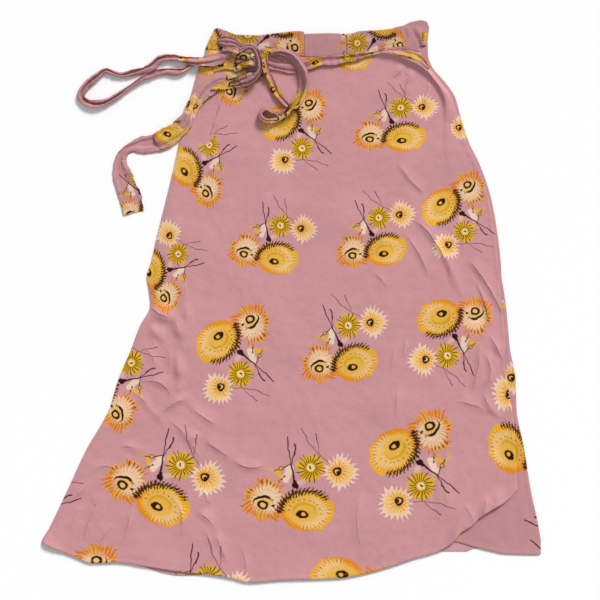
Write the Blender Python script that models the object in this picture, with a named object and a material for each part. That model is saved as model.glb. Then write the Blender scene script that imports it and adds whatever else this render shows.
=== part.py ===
"""A wrap skirt laid flat on its back, in metres, +Z up, +Y towards the waistband.

The origin is the middle of the footprint, on the floor. Three cloth layers lie on each other: the back panel,
the under front (sewn to the back in the right side seam) and the over front (sewn to it in the left side seam).
Each has its own stretch of waistband, 0.3 mm away at the waist seam. A strap of the same cloth is knotted at the
upper left: a long loop and a free end lie to the left, a bow loop lies on the front, and one stretch follows the
waist seam to the right end of the band. Sizes in the tables are millimetres.
"""

import math

import bpy
from mathutils import Vector

MM = 0.001
CLOTH = 1.0        # wall of a cloth layer, as built
BAND = 1.2         # wall of the doubled waistband on top
GAP = 0.3          # between pieces at a seam and between layers
LAYER = CLOTH + GAP
Z_BACK, Z_UNDER, Z_OVER = 0.0, LAYER, 2 * LAYER
Z_STRAP = Z_OVER + BAND + GAP   # underside of a strap that lies on the skirt
SEAM = 0.15        # each piece stops this far from the seam line
STEP_SIDE = 27.0   # spacing of the points along a flat panel's edge
STEP_STRAP = 8.5   # spacing of the sections along a strap

# Outline of the skirt at each height: y, x of the left edge, x of the right edge.
SIDES = (
    (360, -119, 191), (346, -121, 191), (328, -129, 197), (308, -135, 214), (286, -141, 229),
    (265, -147, 235), (226, -156, 247), (188, -164, 265), (142, -175, 280), (90, -188, 289),
    (55, -196, 293), (35, -202, 294), (16, -199, 297), (-4, -197, 300), (-35, -212, 303),
    (-67, -224, 306), (-110, -242, 314), (-149, -254, 315), (-208, -287, 326), (-264, -313, 335),
    (-316, -338, 346), (-338, -349, 349), (-354, -349, 349),
)
# Free edge of the over front: y, x.
FREE_EDGE = (
    (348, 180), (338, 185), (328, 192), (308, 208), (286, 224), (265, 231), (226, 243), (188, 261),
    (142, 276), (90, 285), (35, 291), (-4, 294), (-56, 299), (-78, 298), (-107, 301), (-148, 308),
    (-180, 312), (-225, 314), (-262, 316),
)
# Free edge of the under front, hidden below the over front: y, x.
UNDER_EDGE = ((348, -98), (265, -124), (142, -152), (35, -176), (-67, -200), (-149, -232), (-264, -290), (-300, -306))
# Hems, left to right: x, y.
HEM_OVER = (
    (-349, -338), (-328, -347), (-301, -358), (-278, -366), (-245, -365), (-202, -371), (-156, -378),
    (-114, -382), (-84, -387), (-58, -393), (-17, -390), (65, -387), (106, -380), (141, -370),
    (173, -359), (205, -350), (226, -336), (236, -324), (253, -313), (264, -302), (284, -289),
    (298, -281), (306, -274), (316, -262),
)
HEM_UNDER = (
    (-306, -300), (-292, -326), (-262, -346), (-200, -360), (-100, -371), (0, -374), (100, -366), (160, -352),
    (205, -341), (226, -336), (254, -343), (279, -349), (299, -353), (333, -354), (349, -354),
)
HEM_BACK = (
    (-349, -338), (-301, -357), (-278, -363), (-245, -363), (-222, -368), (-202, -373), (-181, -380),
    (-156, -384), (-128, -383), (-107, -379), (-58, -381), (12, -379), (82, -372), (152, -358), (205, -350),
    (247, -350), (256, -346), (299, -345), (334, -347), (349, -346),
)
# Waist seams, left to right: x, y.
SEAM_OVER = ((-121, 352), (-98, 350), (-44, 346), (12, 342), (40, 341), (72, 344), (105, 347), (126, 350), (158, 351), (180, 348))
SEAM_UNDER = ((-98, 348), (-44, 345), (12, 342), (40, 341), (105, 346), (158, 350), (176, 355), (190, 358))
SEAM_BACK = ((-119, 349), (-44, 347), (60, 350), (130, 354), (191, 360))
# Top edges of the waistbands, left to right: x, y. The over band steps down where its left stretch ends.
TOP_LEFT = ((-107, 381), (-104, 382), (-91, 378), (-76, 373), (-49, 372), (-21, 375), (10, 378), (18, 377))
TOP_REST = ((18, 374), (54, 375), (77, 374), (98, 378), (118, 379), (138, 381), (155, 385), (166, 384))
TOP_BACK = (
    (-106, 379), (-91, 376), (-76, 371), (-49, 370), (10, 373), (54, 373), (98, 376), (138, 380),
    (155, 385), (169, 391), (182, 393), (189, 391), (193, 384),
)
# Upright ends of the waistband stretches, from the seam to the top: y, x.
END_LEFT = ((352, -120), (365, -115), (373, -111), (381, -107))
END_OVER = ((348, 180), (363, 176), (374, 171), (384, 166))
SEAM_X1, SEAM_X2 = 18.0, 77.0   # the two upright seams of the over band

# Largest folds of the over front: ends of the crest x0, y0, x1, y1, half width, height.
FOLDS = (
    (172, 112, 240, 20, 17, 3.4),
    (232, 50, 290, -14, 18, 4.2),
    (268, 12, 282, -78, 16, 4.6),
    (222, -130, 282, -160, 16, 3.6),
    (214, -190, 216, -270, 15, 2.4),
    (158, -40, 150, -92, 15, 2.2),
    (-196, -8, -150, -20, 15, 3.6),
    (-206, -104, -164, -140, 15, 2.8),
    (-160, -144, -66, -214, 16, 2.8),
    (-236, -190, -186, -206, 14, 2.4),
    (-132, -266, -96, -366, 16, 3.2),
    (-262, -276, -286, -338, 15, 2.4),
)
SIDE_FALL = 9.0      # the over front drops to the back panel over this width at the left seam
GRID_U, GRID_V = 32, 36

# Strap routes: x, y, underside z, width, height of the strap at each section.
# The run along the waist seam, from the knot to the right end of the band.
RUN = (
    (-33, 331, 4.1, 10, 4), (-20, 328, 4.1, 11, 4), (-4, 325, 4.1, 12, 3.6), (9, 325, 4.1, 12, 3.4),
    (25, 330, 4.1, 12, 3.4), (40, 335, 4.1, 12.5, 3.4), (57, 336, 4.1, 13, 3.2), (75, 339, 4.1, 12.5, 3),
    (93, 342, 4.1, 10.5, 3), (110, 346, 4.1, 6.5, 3.2), (127, 348, 4.1, 5, 3.4), (144, 348, 4.1, 7, 3),
    (158, 345, 4.1, 11, 2.6), (170, 341, 4.1, 14, 2.2), (182, 336, 4.1, 12, 2),
)
# The long loop, from the top of the knot out to the left and back.
LOOP = (
    (-70, 353, 4.1, 12, 5), (-89, 346, 4.1, 17, 4.5), (-105, 338, 4.1, 17, 4), (-121, 335, 4.1, 15, 4),
    (-135, 335, 3.8, 12.5, 4), (-150, 338, 1.6, 9.5, 4), (-167, 341, 0, 9, 4), (-184, 339, 0, 9, 4),
    (-194, 329, 0, 10, 4.4), (-205, 323, 0, 10, 4.4), (-219, 320, 0, 9, 4), (-234, 317, 0, 7, 4),
    (-245, 318, 0, 6.5, 3.6), (-255, 322, 0, 6.5, 3.6), (-262, 322, 0, 7, 3.6), (-272, 314, 0, 8.5, 3.6),
    (-284, 304, 0, 10, 3.6), (-293, 292, 0, 10, 3.6), (-292, 283, 0, 10, 3.6), (-283, 277, 0, 10.5, 3.6),
    (-271, 276, 0, 10.5, 4), (-258, 279, 0, 9, 4), (-245, 286, 0, 7.5, 4), (-231, 296, 0, 6, 4),
    (-220, 304, 0, 6, 4), (-210, 310, 0, 6.5, 4), (-198, 314, 0, 7, 4), (-184, 318, 0, 7, 4),
    (-170, 320, 0, 8, 3.6), (-159, 321, 0.6, 8, 3.6), (-151, 323, 1.6, 7, 3.6), (-146, 326, 2.2, 6.5, 3.6),
)
LOOP_SPLIT = (-293, 292)   # the upper and the lower strand meet here
# The free end: down over the left edge, folded once, turned, and flat to its cut end.
TAIL = (
    (-62, 320, 4.1, 22, 6), (-77, 317, 4.1, 26, 6), (-94, 311, 4.1, 29, 5), (-110, 300, 4.1, 30, 4),
    (-122, 285, 4.1, 29, 3), (-133, 268, 4.1, 28, 2.4), (-145, 252, 4.1, 26, 2.2), (-156, 240, 4.1, 26, 2),
    (-170, 230, 3, 26, 2), (-185, 224, 1.4, 25, 2.2), (-202, 220, 0, 22, 2.2), (-217, 217, 0, 17, 2.6),
    (-230, 213, 0, 12, 3), (-237, 205, 0, 12, 3), (-239, 195, 0, 19, 2), (-236, 178, 0, 26, 1.4),
    (-230, 160, 0, 30, 1.4), (-224, 142, 0, 31, 1.4), (-220, 122, 0, 30, 1.4),
)
# The bow loop: over the run, down the front and along its own lower end.
BOW = (
    (-32, 345, 4.1, 9, 5), (-22, 348, 5.4, 11, 5), (-8, 346, 7.4, 13, 4.6), (4, 339, 8.2, 14, 4.2),
    (12, 328, 8.2, 14, 4), (17, 315, 8, 14, 4), (17, 301, 6.2, 15, 4), (12, 287, 4.6, 15, 4),
    (5, 275, 4.1, 15, 4.4), (-6, 265, 4.1, 18, 5), (-19, 258, 4.1, 21, 6), (-30, 256, 4.1, 21, 6.5), (-41, 257, 4.1, 18, 6),
)
BOW_RETURN = ((-34, 319, 4.1, 8.5, 6), (-29, 310, 4.1, 9, 5), (-25, 299, 4.1, 10, 4.6), (-19, 289, 4.1, 10, 4.6), (-11, 280, 4.1, 9, 4.6))
KNOT_MIDDLE, KNOT_HALF, KNOT_TALL = (-47, 335), (12, 19.5), 14.0


def between(rows, key=0, value=1):
    """A smooth curve through the rows, without overshoot: value as a function of key."""
    pts = sorted((r[key], r[value]) for r in rows)
    xs, ys = [p[0] for p in pts], [p[1] for p in pts]
    steps = [(ys[i + 1] - ys[i]) / (xs[i + 1] - xs[i]) for i in range(len(xs) - 1)]
    slopes = [steps[0]] + [0.0 if a * b <= 0 else 2 * a * b / (a + b) for a, b in zip(steps, steps[1:])] + [steps[-1]]

    def at(x):
        x = min(max(x, xs[0]), xs[-1])
        i = next((k for k in range(len(xs) - 1) if x <= xs[k + 1]), len(xs) - 2)
        w = xs[i + 1] - xs[i]
        t = (x - xs[i]) / w
        return (
            (1 + 2 * t) * (1 - t) ** 2 * ys[i] + t * (1 - t) ** 2 * w * slopes[i]
            + t * t * (3 - 2 * t) * ys[i + 1] - t * t * (1 - t) * w * slopes[i + 1]
        )

    return at


left_edge, right_edge = between(SIDES, 0, 1), between(SIDES, 0, 2)


def stepped(low, high, step):
    count = max(1, round(abs(high - low) / step))
    return [low + (high - low) * i / count for i in range(count + 1)]


def along_x(rows, low, high, step, lift=0.0):
    """Points of the curve y(x) from low to high."""
    curve = between(rows)
    return [(x, curve(x) + lift) for x in stepped(low, high, step)]


def along_seam(rows, low, high, lift, x0=-120.5, x1=180.0, cells=32):
    """Points of a waist seam from low to high, at the same sections on both of its sides, so that the gap is even."""
    curve = between(rows)
    marks = [x0 + (x1 - x0) * i / cells for i in range(cells + 1)]

    def facet(x):
        i = min(cells - 1, max(0, int((x - x0) / (x1 - x0) * cells)))
        t = (x - marks[i]) / (marks[i + 1] - marks[i])
        return curve(marks[i]) * (1 - t) + curve(marks[i + 1]) * t

    inner = [m for m in marks if low + 0.7 < m < high - 0.7]
    return [(x, facet(x) + lift) for x in [low] + inner + [high]]


def along_y(curve, low, high, step):
    """Points of the curve x(y) from low to high."""
    return [(curve(y), y) for y in stepped(low, high, step)]


def material(name, colour, roughness):
    m = bpy.data.materials.new(name)
    m.use_nodes = True
    shader = m.node_tree.nodes["Principled BSDF"]
    shader.inputs["Base Color"].default_value = (*colour, 1)
    shader.inputs["Roughness"].default_value = roughness
    shader.inputs["Metallic"].default_value = 0.0
    return m


def solid(name, points, faces, colour):
    mesh = bpy.data.meshes.new(name)
    mesh.from_pydata([tuple(c * MM for c in p) for p in points], [], faces)
    mesh.validate()
    mesh.materials.append(colour)
    mesh.shade_smooth()
    mesh.set_sharp_from_angle(angle=math.radians(40))
    obj = bpy.data.objects.new(name, mesh)
    bpy.context.scene.collection.objects.link(obj)
    obj.parent = holder
    return obj


def plate(name, outline, low, thick, colour):
    """A flat piece of cloth: a counter-clockwise outline with a wall between two heights."""
    clean = [p for i, p in enumerate(outline) if math.dist(p, outline[i - 1]) > 0.6]
    n = len(clean)
    points = [(x, y, low) for x, y in clean] + [(x, y, low + thick) for x, y in clean]
    faces = [tuple(range(n))[::-1], tuple(range(n, 2 * n))]
    faces += [(i, (i + 1) % n, n + (i + 1) % n, n + i) for i in range(n)]
    return solid(name, points, faces, colour)


def fold_height(x, y):
    """Height of the cloth's folds at a point, from the crests in FOLDS."""
    best = 0.0
    for x0, y0, x1, y1, half, high in FOLDS:
        dx, dy = x1 - x0, y1 - y0
        t = min(1.0, max(0.0, ((x - x0) * dx + (y - y0) * dy) / (dx * dx + dy * dy)))
        d = math.hypot(x - x0 - t * dx, y - y0 - t * dy) / half
        if d < 1:
            taper = 0.55 + 0.45 * math.sin(math.pi * min(1, max(0, t)))
            best = max(best, high * taper * (1 - d * d) ** 2)
    return best


def over_point(u, v):
    """The over front, blended between its four edges: u across from the side seam, v down from the waist."""
    free, hem, top = between(FREE_EDGE), between(HEM_OVER), between(SEAM_OVER)
    y_left = 352 - SEAM + (-338 - 352 + SEAM) * v
    y_right = 348 - SEAM + (-262 - 348 + SEAM) * v
    a, b = Vector((left_edge(y_left), y_left)), Vector((free(y_right), y_right))
    x_top = -120.5 + (180 + 120.5) * u
    x_hem = -349 + (316 + 349) * u
    c, d = Vector((x_top, top(x_top) - SEAM)), Vector((x_hem, hem(x_hem)))
    c0, c1 = Vector((-120.5, top(-120.5) - SEAM)), Vector((180, top(180) - SEAM))
    d0, d1 = Vector((-349, -338)), Vector((316, -262))
    p = (1 - u) * a + u * b + (1 - v) * c + v * d
    p -= (1 - u) * (1 - v) * c0 + u * (1 - v) * c1 + (1 - u) * v * d0 + u * v * d1
    return p


def over_front(colour):
    """A wall of one thickness with folds, on a grid of sections. At the side seam it comes down to the back panel."""
    lows, highs = [], []
    for j in range(GRID_V + 1):
        for i in range(GRID_U + 1):
            u = i / GRID_U
            p = over_point(u, j / GRID_V)
            inset = p.x - left_edge(p.y)
            fall = max(0.0, 1 - inset / SIDE_FALL) ** 1.5 if i < 2 else 0.0
            z = Z_OVER - (Z_OVER - Z_UNDER) * fall + (fold_height(p.x, p.y) if i > 1 else 0.0)
            lows.append((p.x, p.y, z))
            highs.append((p.x, p.y, z + CLOTH))
    w, n = GRID_U + 1, len(lows)
    faces = []
    for j in range(GRID_V):
        for i in range(GRID_U):
            a, b, c, d = j * w + i, j * w + i + 1, (j + 1) * w + i + 1, (j + 1) * w + i
            faces += [(a, b, c, d), (n + d, n + c, n + b, n + a)]
    rim = [i for i in range(w)] + [j * w + w - 1 for j in range(1, GRID_V + 1)]
    rim += [GRID_V * w + i for i in range(w - 2, -1, -1)] + [j * w for j in range(GRID_V - 1, 0, -1)]
    for a, b in zip(rim, rim[1:] + rim[:1]):
        faces.append((b, a, n + a, n + b))
    return solid("front_over_panel", lows + highs, faces, colour)


def stations(rows):
    """Sections along a smooth route through the rows, one about every STEP_STRAP: (place, direction, width, height)."""
    pts = [Vector(r) for r in ((x, y, z, w, h) for x, y, z, w, h in rows)]
    pts = [2 * pts[0] - pts[1]] + pts + [2 * pts[-1] - pts[-2]]
    fine = []
    for k in range(1, len(pts) - 2):
        p0, p1, p2, p3 = pts[k - 1 : k + 3]
        for s in range(8):
            t = s / 8
            fine.append(0.5 * (2 * p1 + (p2 - p0) * t + (2 * p0 - 5 * p1 + 4 * p2 - p3) * t * t + (3 * p1 - p0 - 3 * p2 + p3) * t**3))
    fine.append(pts[-2].copy())
    length = [0.0]
    for a, b in zip(fine, fine[1:]):
        length.append(length[-1] + math.dist(a[:2], b[:2]))
    return fine, length


def at_length(fine, length, s):
    s = min(max(s, 0.0), length[-1])
    k = next((i for i in range(len(length) - 1) if s <= length[i + 1]), len(length) - 2)
    t = (s - length[k]) / max(1e-9, length[k + 1] - length[k])
    return fine[k].lerp(fine[k + 1], t)


def strap(name, rows, colour, start=None, end=None):
    """A strap gathered along its length, as one solid of its outer shape: a flat-bottomed section with chamfered
    corners, swept along its route. start and end are lengths along the route."""
    fine, length = stations(rows)
    start, end = start or 0.0, length[-1] if end is None else end
    points, faces = [], []
    places = stepped(start, end, STEP_STRAP)
    for s in places:
        x, y, z, w, h = at_length(fine, length, s)
        ahead, behind = at_length(fine, length, s + 2), at_length(fine, length, s - 2)
        run = Vector((ahead[0] - behind[0], ahead[1] - behind[1])).normalized()
        side = Vector((run.y, -run.x))
        cut_x, cut_z, half = min(0.22 * w, 0.6 * h), 0.32 * h, w / 2
        profile = (
            (-half + cut_x, 0), (half - cut_x, 0), (half, cut_z), (half, h - cut_z),
            (half - cut_x, h), (-half + cut_x, h), (-half, h - cut_z), (-half, cut_z),
        )
        z = max(z, 0.0)
        points += [(x + side.x * a, y + side.y * a, z + b) for a, b in profile]
    for k in range(len(places) - 1):
        for i in range(8):
            j = (i + 1) % 8
            faces.append((8 * k + i, 8 * k + 8 + i, 8 * k + 8 + j, 8 * k + j))
    last = 8 * (len(places) - 1)
    faces += [tuple(range(8)), tuple(last + i for i in range(8))[::-1]]
    return solid(name, points, faces, colour)


def nearest_length(rows, place):
    fine, length = stations(rows)
    return min(zip(fine, length), key=lambda p: math.dist(p[0][:2], place))[1]


def knot(colour):
    """The knot as one rounded lump on the waist seam, flat where it lies on the cloth."""
    rings, around = 6, 16
    points, faces = [], []
    for r in range(rings):
        t = r / (rings - 1)
        spread = (0.82, 0.98, 1.0, 0.9, 0.7, 0.42)[r]
        for k in range(around):
            a = 2 * math.pi * k / around
            points.append((
                KNOT_MIDDLE[0] + KNOT_HALF[0] * spread * math.cos(a),
                KNOT_MIDDLE[1] + KNOT_HALF[1] * spread * math.sin(a),
                Z_STRAP + KNOT_TALL * t,
            ))
    for r in range(rings - 1):
        for k in range(around):
            j = (k + 1) % around
            faces.append((r * around + k, r * around + j, (r + 1) * around + j, (r + 1) * around + k))
    faces += [tuple(range(around))[::-1], tuple((rings - 1) * around + k for k in range(around))]
    return solid("tie_knot", points, faces, colour)


for old in list(bpy.data.objects):
    bpy.data.objects.remove(old, do_unlink=True)
holder = bpy.data.objects.new("wrap_skirt", None)
bpy.context.scene.collection.objects.link(holder)

pink = material("printed_viscose", (0.56, 0.28, 0.29), 0.75)
band_pink = material("printed_viscose_doubled", (0.52, 0.25, 0.27), 0.75)
tie_pink = material("printed_viscose_tie", (0.48, 0.22, 0.24), 0.72)

# Back panel: the whole footprint, from the back waist seam to the back hem.
outline = along_y(left_edge, 349 - SEAM, -338, STEP_SIDE)
outline += along_x(HEM_BACK, -349, 349, STEP_SIDE)[1:]
outline += along_y(right_edge, -346, 360 - SEAM, STEP_SIDE)[1:]
outline += along_seam(SEAM_BACK, -118.9, 190.9, -SEAM, -119, 191, 10)[::-1]
plate("back_panel", outline, Z_BACK, CLOTH, pink)

# Under front: its free edge is hidden, its other side is the right side seam.
outline = along_y(between(UNDER_EDGE), 348 - SEAM, -300, 36)
outline += along_x(HEM_UNDER, -306, 349, 24)[1:]
outline += along_y(right_edge, -354, 358 - SEAM, STEP_SIDE)[1:]
outline += along_seam(SEAM_UNDER, -97.9, 189.9, -SEAM, -98, 190, 10)[::-1]
plate("front_under_panel", outline, Z_UNDER, CLOTH, pink)

over_front(pink)

# Waistbands, each above its own panel's seam line.
outline = along_seam(SEAM_BACK, -118.9, 190.5, SEAM, -119, 191, 10)
outline += [(193.5, 366), (194, 371)]
outline += along_x(TOP_BACK, 193, -106, 14)
outline += [(-111, 371), (-116, 362)]
plate("waistband_back", outline, Z_BACK, CLOTH, band_pink)

outline = along_seam(SEAM_UNDER, -96, 189, SEAM, -98, 190, 10)
outline += [(192, 366), (193, 373)]
outline += along_x(TOP_BACK, 191, -90, 14, -1.0)
plate("waistband_under", outline, Z_UNDER, CLOTH, band_pink)

outline = along_seam(SEAM_OVER, -120, SEAM_X1 - SEAM, SEAM)
outline += along_x(TOP_LEFT, SEAM_X1 - SEAM, -107, 11)
outline += along_y(between(END_LEFT), 378, 355, 8)
plate("waistband_left", outline, Z_OVER, BAND, band_pink)

outline = along_seam(SEAM_OVER, SEAM_X1 + SEAM, SEAM_X2 - SEAM, SEAM)
outline += along_x(TOP_REST, SEAM_X2 - SEAM, SEAM_X1 + SEAM, 15)
plate("waistband_mid", outline, Z_OVER, BAND, band_pink)

outline = along_seam(SEAM_OVER, SEAM_X2 + SEAM, 179.5, SEAM)
outline += along_y(between(END_OVER), 354, 381, 8)
outline += along_x(TOP_REST, 166, SEAM_X2 + SEAM, 12)
plate("waistband_right", outline, Z_OVER, BAND, band_pink)

# The tie.
strap("tie_run", RUN, tie_pink)
middle = nearest_length(LOOP, LOOP_SPLIT)
strap("tie_loop_upper", LOOP, tie_pink, end=middle - SEAM)
strap("tie_loop_lower", LOOP, tie_pink, start=middle + SEAM)
strap("tie_tail", TAIL, tie_pink)
strap("tie_bow", BOW, tie_pink)
strap("tie_bow_return", BOW_RETURN, tie_pink)
knot(tie_pink)
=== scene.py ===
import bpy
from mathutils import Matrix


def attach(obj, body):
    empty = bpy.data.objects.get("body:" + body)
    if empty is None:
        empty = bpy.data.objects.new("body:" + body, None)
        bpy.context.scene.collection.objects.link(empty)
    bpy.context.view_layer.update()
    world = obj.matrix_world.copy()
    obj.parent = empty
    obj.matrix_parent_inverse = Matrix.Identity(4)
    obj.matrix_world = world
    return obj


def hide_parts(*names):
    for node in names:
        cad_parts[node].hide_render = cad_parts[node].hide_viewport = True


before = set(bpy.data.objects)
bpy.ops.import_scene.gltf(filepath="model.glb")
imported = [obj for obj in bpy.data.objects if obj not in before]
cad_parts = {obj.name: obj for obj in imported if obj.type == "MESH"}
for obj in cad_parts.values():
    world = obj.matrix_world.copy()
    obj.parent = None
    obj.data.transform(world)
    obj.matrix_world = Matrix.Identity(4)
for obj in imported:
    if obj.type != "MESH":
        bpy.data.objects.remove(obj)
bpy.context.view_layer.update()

# The looks of the wrap skirt: its panels, waistband and tie as thin shells of printed cloth, with the folds, hems,
# stitches and the drawn flower print. Tables and shapes are in millimetres here, and become metres in the meshes.

import math

import bpy
import numpy as np
from mathutils import Vector

MM = 0.001
rng = np.random.default_rng(41)

# ---------------------------------------------------------------------------------------------------------------
# The outline, repeated from the CAD.

CLOTH, BAND, GAP, SEAM = 1.0, 1.2, 0.3, 0.15
Z_UNDER, Z_OVER = 1.3, 2.6
SIDES = (
    (360, -119, 191), (346, -121, 191), (328, -129, 197), (308, -135, 214), (286, -141, 229),
    (265, -147, 235), (226, -156, 247), (188, -164, 265), (142, -175, 280), (90, -188, 289),
    (55, -196, 293), (35, -202, 294), (16, -199, 297), (-4, -197, 300), (-35, -212, 303),
    (-67, -224, 306), (-110, -242, 314), (-149, -254, 315), (-208, -287, 326), (-264, -313, 335),
    (-316, -338, 346), (-338, -349, 349), (-354, -349, 349),
)
FREE_EDGE = (
    (348, 180), (338, 185), (328, 192), (308, 208), (286, 224), (265, 231), (226, 243), (188, 261),
    (142, 276), (90, 285), (35, 291), (-4, 294), (-56, 299), (-78, 298), (-107, 301), (-148, 308),
    (-180, 312), (-225, 314), (-262, 316),
)
UNDER_EDGE = ((348, -98), (265, -124), (142, -152), (35, -176), (-67, -200), (-149, -232), (-264, -290), (-300, -306))
HEM_OVER = (
    (-349, -338), (-328, -347), (-301, -358), (-278, -366), (-245, -365), (-202, -371), (-156, -378),
    (-114, -382), (-84, -387), (-58, -393), (-17, -390), (65, -387), (106, -380), (141, -370),
    (173, -359), (205, -350), (226, -336), (236, -324), (253, -313), (264, -302), (284, -289),
    (298, -281), (306, -274), (316, -262),
)
HEM_UNDER = (
    (-306, -300), (-292, -326), (-262, -346), (-200, -360), (-100, -371), (0, -374), (100, -366), (160, -352),
    (205, -341), (226, -336), (254, -343), (279, -349), (299, -353), (333, -354), (349, -354),
)
HEM_BACK = (
    (-349, -338), (-301, -357), (-278, -363), (-245, -363), (-222, -368), (-202, -373), (-181, -380),
    (-156, -384), (-128, -383), (-107, -379), (-58, -381), (12, -379), (82, -372), (152, -358), (205, -350),
    (247, -350), (256, -346), (299, -345), (334, -347), (349, -346),
)
SEAM_OVER = ((-121, 352), (-98, 350), (-44, 346), (12, 342), (40, 341), (72, 344), (105, 347), (126, 350), (158, 351), (180, 348))
SEAM_UNDER = ((-98, 348), (-44, 345), (12, 342), (40, 341), (105, 346), (158, 350), (176, 355), (190, 358))
SEAM_BACK = ((-119, 349), (-44, 347), (60, 350), (130, 354), (191, 360))
TOP_LEFT = ((-107, 381), (-104, 382), (-91, 378), (-76, 373), (-49, 372), (-21, 375), (10, 378), (18, 377))
TOP_REST = ((18, 374), (54, 375), (77, 374), (98, 378), (118, 379), (138, 381), (155, 385), (166, 384))
TOP_BACK = (
    (-106, 379), (-91, 376), (-76, 371), (-49, 370), (10, 373), (54, 373), (98, 376), (138, 380),
    (155, 385), (169, 391), (182, 393), (189, 391), (193, 384),
)
END_LEFT = ((352, -120), (365, -115), (373, -111), (381, -107))
END_OVER = ((348, 180), (363, 176), (374, 171), (384, 166))
SEAM_X1, SEAM_X2 = 18.0, 77.0

# Strap routes: x, y, underside z, visible width, lie. The lie is how far the folds of the strap roll to one side.
RUN = (
    (-33, 331, 4.1, 10), (-20, 328, 4.1, 11), (-4, 325, 4.1, 12), (9, 325, 4.1, 12), (25, 330, 4.1, 12),
    (40, 335, 4.1, 12.5), (57, 336, 4.1, 13), (75, 339, 4.1, 12.5), (93, 342, 4.1, 10.5), (110, 346, 4.1, 6.5),
    (127, 348, 4.6, 5), (144, 348, 5.8, 7), (158, 345, 6.7, 11), (170, 341, 6.9, 13), (180, 335.5, 6.6, 11.5),
    (187, 330, 5.6, 8), (192, 325, 4.2, 4.5),
)
LOOP = (
    (-70, 353, 4.1, 12), (-89, 346, 4.1, 17), (-105, 338, 4.1, 17), (-121, 335, 4.1, 15), (-135, 335, 3.8, 12.5),
    (-150, 338, 1.6, 9.5), (-167, 341, 0, 9), (-184, 339, 0, 9), (-194, 329, 0, 10), (-205, 323, 0, 10),
    (-219, 320, 0, 9), (-234, 317, 0, 7), (-245, 318, 0, 6.5), (-255, 322, 0, 6.5), (-262, 322, 0, 7),
    (-272, 314, 0, 8.5), (-284, 304, 0, 10), (-293, 292, 0, 10), (-292, 283, 0, 10), (-283, 277, 0, 10.5),
    (-271, 276, 0, 10.5), (-258, 279, 0, 9), (-245, 286, 0, 7.5), (-231, 296, 0, 6), (-220, 304, 0, 6),
    (-210, 311, 0, 7), (-198, 316, 0, 8), (-184, 320.5, 0, 9), (-168.5, 321, 0, 9.2), (-156, 322, 0.3, 8.4),
    (-146, 326.5, 0.8, 6.5), (-139, 331, 0.8, 6), (-132, 334, 0.8, 5.5),
)
TAIL = (
    (-62, 320, 4.6, 20), (-77.5, 314, 4.4, 24), (-91.5, 310, 4.1, 27), (-105.5, 305.5, 4.1, 26), (-117.4, 297.3, 4.1, 23),
    (-127.2, 286.8, 4.1, 20), (-136, 275, 4.1, 18), (-142, 262.5, 4.1, 17.5), (-148.5, 251, 4.1, 21), (-157, 241.2, 4.1, 24),
    (-168, 232.7, 3.4, 26), (-179, 227.2, 2.7, 26), (-186, 224, 2.4, 25.5), (-189.5, 222.3, 1.0, 25),
)
TAIL_END = (
    (-174, 226, 0, 24), (-186, 222, 0, 25.5), (-200, 219.5, 0, 25), (-212, 218, 0, 22), (-224, 215, 0, 15),
    (-233, 209, 0, 12), (-238.5, 199, 0, 16), (-238.5, 187, 0, 22), (-235, 172, 0, 27.5), (-230, 157, 0, 30),
    (-224.5, 142, 0, 31), (-220.5, 124, 0, 30),
)
# The bow loop, with a fifth column: how far the strap stands up on its edge, in degrees.
BOW = (
    (-33, 346, 6, 7, 0), (-22, 348.5, 7, 9.5, 12), (-8, 347, 8, 11.5, 10), (4, 340, 8.2, 12.5, 0), (12, 328, 8.2, 13, 0),
    (17, 315, 8, 13.5, 0), (17.5, 301, 6.2, 13.5, -8), (14, 288, 5, 13, -12), (6.5, 275, 4.4, 12.5, -18),
    (-5, 265, 4.3, 12, -30), (-18, 257, 4.3, 11, -45), (-31, 252.5, 4.3, 10, -62), (-41, 256, 4.3, 9, -74),
    (-43, 263, 4.3, 9, -76), (-37, 267.5, 4.3, 9, -72), (-28, 264.5, 4.3, 8, -66), (-19, 262.5, 4.3, 7, -60),
)
BOW_RETURN = (
    (-37, 345, 8, 8, 0), (-37.5, 332, 7, 8, 0), (-34, 319, 5, 8.5, 0), (-29, 310, 4.2, 9, 0), (-25, 299, 4.1, 10, 0),
    (-19, 289, 4.1, 10, 0), (-11, 280, 4.1, 9, 0), (-4, 273, 4.1, 8, 0),
)
# The knot: the roll that curves round its right side, the tongue and the short roll inside it, and a gathered end.
WRAP = (
    (-76, 343, 8, 5, 0), (-68, 350.5, 10, 6, 0), (-60, 355, 12, 7, 0), (-52.5, 352.5, 12.5, 8, 0), (-47, 344, 13, 9.5, 0),
    (-44.6, 332, 12.6, 10, 0), (-45, 322, 11.8, 10.5, 0), (-50, 313.5, 10.5, 11, 0), (-59.5, 307, 9.4, 11.5, 0),
    (-70.5, 303, 8, 9.5, 0), (-80, 300.5, 6, 6, 0),
)
TONGUE = ((-48, 333, 7, 11, -12), (-57, 333.5, 8.5, 14, -16), (-66, 330, 8.5, 13, -18), (-74, 324.5, 8, 8.5, -18), (-80, 321, 7, 5, -12))
SHORT_ROLL = ((-97, 350, 6, 4, 0), (-93, 350, 7, 9, 0), (-87, 349.5, 8.5, 11, 0), (-77, 346, 9.6, 12, 0), (-66, 343, 9.4, 11, 0), (-57, 341.5, 8, 8, 0))
GATHERED = (
    (-103, 363, 4.2, 5, 0), (-99.5, 363, 4.4, 11, 0), (-95, 362.5, 5, 15.5, 0), (-88, 361.5, 6, 16.5, 0), (-80, 359, 6.4, 13, 0),
    (-72, 356, 7, 9, 0), (-64, 352, 7, 7, 0),
)
UNDER_KNOT = ((-76, 333, 4.3, 12, 0), (-66, 334, 4.3, 18, 0), (-57, 331, 4.4, 20, 0), (-47, 331, 4.4, 14, 0))
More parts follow.
